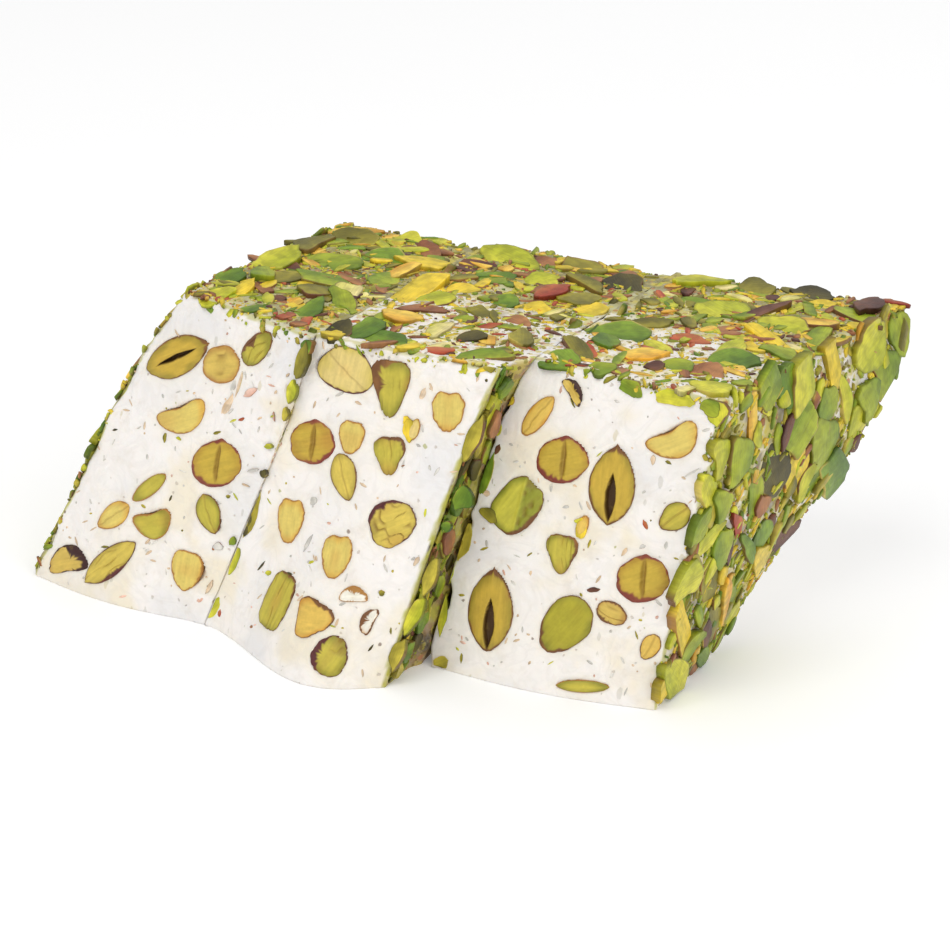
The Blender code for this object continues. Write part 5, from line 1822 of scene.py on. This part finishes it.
@dataclass(frozen=True)
class PistachioCoat:
    """The coat of one bar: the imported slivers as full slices, and finer ones strewn between.

    leafiness scales the draw of the larger slices' forms, so that most are leaves and moons.
    """

    index: int
    seed: int = 2711
    length: tuple = (6.5, 11.0)
    breadth: tuple = (3.4, 6.0)
    stand: tuple = (0.25, 0.9)
    tilt: float = 0.10
    jitter: float = 0.75
    laid_step: float = 0.618
    laid_slope: float = 0.2
    laid_sway: float = 0.10
    laid_clearance: float = 4.6
    leafiness: float = 0.66
    rim_length: float = 0.6

    def bands(self) -> list[tuple]:
        """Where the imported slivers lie: face, columns, rows, ranges of both fractions, turn."""
        bands = [(Face.TOP, 4, 8, (0.06, 0.94), (0.03, 0.97), 0.9)]
        for face, is_open in zip((Face.LEFT, Face.RIGHT), BARS[self.index].open_sides):
            if is_open:
                bands.append((face, 6, 5, (0.05, 0.95), (0.07, 0.95), 1.25))
            else:
                bands.append((face, 1, 7, (0.05, 0.06), (0.05, 0.93), 1.4))
                bands.append((face, 6, 1, (0.16, 0.96), (0.93, 0.94), 0.2))
        return bands

    def laid_slices(self) -> list[Slices]:
        """The slices with places of their own, face by face; those on top slope to the front."""
        looks = np.random.default_rng(self.seed + 70 + self.index)
        made, first = [], 0
        for face, rows in rows_of(LAID, BARS[self.index].name):
            numbers = first + np.arange(len(rows))
            first += len(rows)
            stand = blend(*LAID_STAND[face], self.laid_step * numbers % 1.0)
            tilt = (np.array([0.0, self.laid_slope if face is Face.TOP else 0.0])
                    + self.laid_sway * (looks.random((len(rows), 2)) - 0.5))
            made.append(placed(face, rows, stand, tilt, looks))
            made[-1].chance[:, 3] *= self.leafiness
        return made

    def packed_slices(self) -> list[Slices]:
        """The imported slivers, from the same draws, with colours and forms of their own.

        Those too near to a laid slice are left out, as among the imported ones.
        """
        bar = BARS[self.index]
        draw = np.random.default_rng(self.seed + self.index)
        looks = np.random.default_rng(self.seed + 50 + self.index)
        made = self.laid_slices()
        laid = np.concatenate([bar.face_point(one.face, *one.spot.T) for one in made])
        for face, columns, rows, a_range, b_range, main_turn in self.bands():
            chance = draw.random((columns * rows, 8))
            cell = np.arange(columns * rows)
            a = (cell % columns + 0.5 + self.jitter * (chance[:, 0] - 0.5)) / columns
            b = (cell // columns + 0.5 + self.jitter * (chance[:, 1] - 0.5)) / rows
            spot = np.stack([blend(*a_range, a), blend(*b_range, b)], axis=-1)
            size = drawn_sizes(self.length, self.breadth, self.stand, chance[:, 2:5], power=1.5)
            turn = main_turn + math.pi * (chance[:, 5] - 0.5) * (1.0 if face is Face.TOP else 0.5)
            mix = self.mix(face)
            slices = Slices(face, spot, size, turn, self.tilt * (2.0 * chance[:, 6:8] - 1.0),
                            mix.pick(looks, len(cell)), looks.random((len(cell), 8)))
            slices.chance[:, 3] *= self.leafiness
            away = bar.face_point(face, *spot.T)[:, None] - laid[None]
            free = np.linalg.norm(away, axis=-1).min(axis=1) >= self.laid_clearance
            made.append(slices.keep(free))
        return made

    def mix(self, face: Face) -> Mix:
        """The colours of a face."""
        if face is Face.TOP:
            return Mix.TOP
        side = 0 if face is Face.LEFT else 1
        return Mix.SIDE if BARS[self.index].open_sides[side] else Mix.GAP

    def regions(self) -> list[tuple]:
        """Where finer slices are strewn: face, ranges of both fractions, how thickly, colours."""
        regions = [(Face.TOP, (0.0, 1.0), (0.0, 1.0), 1.0, Mix.CHIPS),
                   (Face.TOP, (0.0, 1.0), (0.0 if self.index == 0 else 0.5, 1.0), 1.1, Mix.TOP)]
        for face in (Face.FRONT, Face.BACK):
            regions.append((face, (0.01, 0.99), (0.970, 0.995), 1.6, Mix.RIM))
            for a_range, is_open in zip(((0.004, 0.022), (0.978, 0.996)),
                                        BARS[self.index].open_sides):
                if is_open:
                    regions.append((face, a_range, (0.02, 0.99), 1.8, Mix.RIM))
        for face, is_open in zip((Face.LEFT, Face.RIGHT), BARS[self.index].open_sides):
            if is_open:
                regions.append((face, (0.0, 1.0), (0.02, 1.0), 1.3, Mix.SIDE))
            else:
                regions.append((face, (0.0, 0.2), (0.02, 0.97), 2.2, Mix.GAP))
                regions.append((face, (0.2, 0.35), (0.02, 1.0), 0.6, Mix.GAP))
                regions.append((face, (0.35, 1.0), (0.5, 1.0), 0.35, Mix.GAP))
        return regions

    def build(self, material: Material) -> None:
        """Makes the coat's pieces: slices, chips and crumbs, the last two also on the rims.

        Args:
            material: the coat's finish.
        """
        name = BARS[self.index].name
        draw = np.random.default_rng(self.seed + 100 + self.index)
        big = [shaped(self.index, slices, BIG_SLICE) for slices in self.packed_slices()]
        kinds = {"slices": big, "small_slices": [], "chips": [], "crumbs": []}
        for kind, strew in zip(list(kinds)[1:], (SMALL_STREW, CHIP_STREW, CRUMB_STREW)):
            for face, a_range, b_range, share, mix in self.regions():
                if mix is Mix.RIM and strew is SMALL_STREW:
                    continue
                slices = strewn(self.index, strew, face, a_range, b_range, share, draw, mix)
                slices.size[:, 0] *= self.rim_length if mix is Mix.RIM else 1.0
                kinds[kind].append(shaped(self.index, slices, strew.form, sink=0.35))
        for kind, parts in kinds.items():
            made = Surface.joined(parts).to_object(f"{kind}_{name}", material)
            put_on_part(made, "pistachio_coat", ())


# -------- Studio


@dataclass(frozen=True)
class Softbox:
    """A square soft light: its direction from the block, its distance, size and power."""

    name: str
    azimuth: float
    elevation: float
    distance: float
    size: float
    power: float


def heading(azimuth: float, elevation: float) -> tuple[Array, Array]:
    """The direction away from the block by two angles, and the level one to the right of it."""
    sine, cosine = math.sin(azimuth), math.cos(azimuth)
    away = np.array([sine * math.cos(elevation), -cosine * math.cos(elevation), math.sin(elevation)])
    return away, np.array([cosine, sine, 0.0])


def stood(name: str, data: bpy.types.ID, axes: list[Array], place: Array) -> bpy.types.Object:
    """A camera or light that stands at a place in metres, with its three axes turned."""
    matrix = np.eye(4)
    matrix[:3, :3] = np.stack(axes, axis=1)
    matrix[:3, 3] = place
    made = bpy.data.objects.new(name, data)
    made.matrix_world = Matrix(matrix.tolist())
    bpy.context.scene.collection.objects.link(made)
    return made


@dataclass(frozen=True)
class Studio:
    """The floor, the light and the camera, which stands as it did for the photograph."""

    azimuth: float = 0.3986
    elevation: float = 0.37941
    roll: float = 0.05236
    distance: float = 634.368
    aside: float = 21.643
    upward: float = 26.128
    focal_pixels: float = 4000.0
    image_pixels: float = 950.0
    sensor: float = 36.0
    sky: float = 0.54
    floor_reach: float = 3.0
    floor_drop: float = 0.05
    lights: tuple = (
        Softbox("key", -8.0, 50.0, 0.9, 0.55, 2.8),
        Softbox("fill", 62.0, 34.0, 1.0, 0.8, 2.0),
        Softbox("rear", 170.0, 55.0, 1.0, 0.8, 2.0),
    )

    def camera(self) -> None:
        """Makes the camera.

        It looks against the direction that its azimuth and elevation give, is rolled about it,
        and stands at the distance along it from a point beside and above the block's origin.
        """
        back, level = heading(self.azimuth, self.elevation)
        steep = np.cross(back, level)
        right = math.cos(self.roll) * level + math.sin(self.roll) * steep
        up = -math.sin(self.roll) * level + math.cos(self.roll) * steep
        place = back * self.distance + right * self.aside + up * self.upward
        data = bpy.data.cameras.new("camera")
        data.sensor_width = self.sensor
        data.lens = self.focal_pixels / self.image_pixels * self.sensor
        data.clip_start, data.clip_end = 0.01, 20.0
        place = (place - np.array([*BLOCK_MIDDLE, 0.0])) * MM
        bpy.context.scene.camera = stood("camera", data, [right, up, back], place)

    def light(self) -> None:
        """Makes the soft lights and the even light of the room."""
        for box in self.lights:
            away, level = heading(math.radians(box.azimuth), math.radians(box.elevation))
            data = bpy.data.lights.new(box.name, "AREA")
            data.energy, data.size = box.power, box.size
            stood(box.name, data, [level, np.cross(away, level), away], away * box.distance)
        world = bpy.data.worlds.new("room")
        world.use_nodes = True
        backdrop = world.node_tree.nodes["Background"]
        backdrop.inputs["Color"].default_value = (1.0, 1.0, 1.0, 1.0)
        backdrop.inputs["Strength"].default_value = self.sky
        bpy.context.scene.world = world

    def floor(self, material: Material) -> None:
        """Makes the floor: a square just under the block, as a grid of faces."""
        steps = np.linspace(-self.floor_reach, self.floor_reach, 9) / MM
        x, y = np.meshgrid(steps, steps, indexing="ij")
        points = np.stack([x, y, np.full_like(x, -self.floor_drop)], axis=-1).reshape(-1, 3)
        numbers = np.arange(x.size).reshape(x.shape)
        faces = np.stack([numbers[:-1, :-1], numbers[1:, :-1], numbers[1:, 1:], numbers[:-1, 1:]],
                         axis=-1).reshape(-1, 4)
        made = Surface(points, [faces], np.ones_like(points), points[:, :2]).to_object(
            "floor", material)


def main() -> None:
    """Builds the studio, the three bars, their kernels and their coats."""
    logging.basicConfig(level=logging.INFO, format="%(message)s")
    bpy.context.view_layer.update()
    bpy.context.scene.view_settings.view_transform = "Standard"
    groups = Groups(speck_group(), streak_group())
    studio = Studio()
    studio.camera()
    studio.light()
    studio.floor(FloorFinish().make())
    nougat = NougatFinish().make(groups)
    coat = NutFinish("pistachio_coat", Nut.LEAF.value[0], roughness=0.42, streak=0.32,
                     fleck=0.08, tone=0.20, across=3.6).make(groups)
    flesh = {slot: NutFinish(f"kernel_{slot}", colour, roughness=0.5, streak=0.16, fleck=0.14,
                             across=2.6).make(groups)
             for slot, colour in (("olive", Flesh.OLIVE.value[0]), ("ivory", Flesh.IVORY.value[0]),
                                  ("green", Flesh.GREEN.value[0]), ("skin", Skin.DARK.value))}
    for index, shape in enumerate(BARS):
        bar = NougatBar(shape)
        bar.build(nougat)
        for face, kernels in KERNELS.items():
            for number, kernel in enumerate(kernels[shape.name], start=1):
                name = f"kernel_{face.value}_{shape.name}_{number:02d}"
                seed = 1000 * index + 37 * number + (500 if face is Face.BACK else 0)
                piece = CutKernel(bar, face, kernel, seed)
                piece.build(name, flesh[KINDS[kernel.kind].slot])
        Fragments(bar).build(coat)
        PistachioCoat(index).build(coat)


if __name__ == "__main__":
    main()
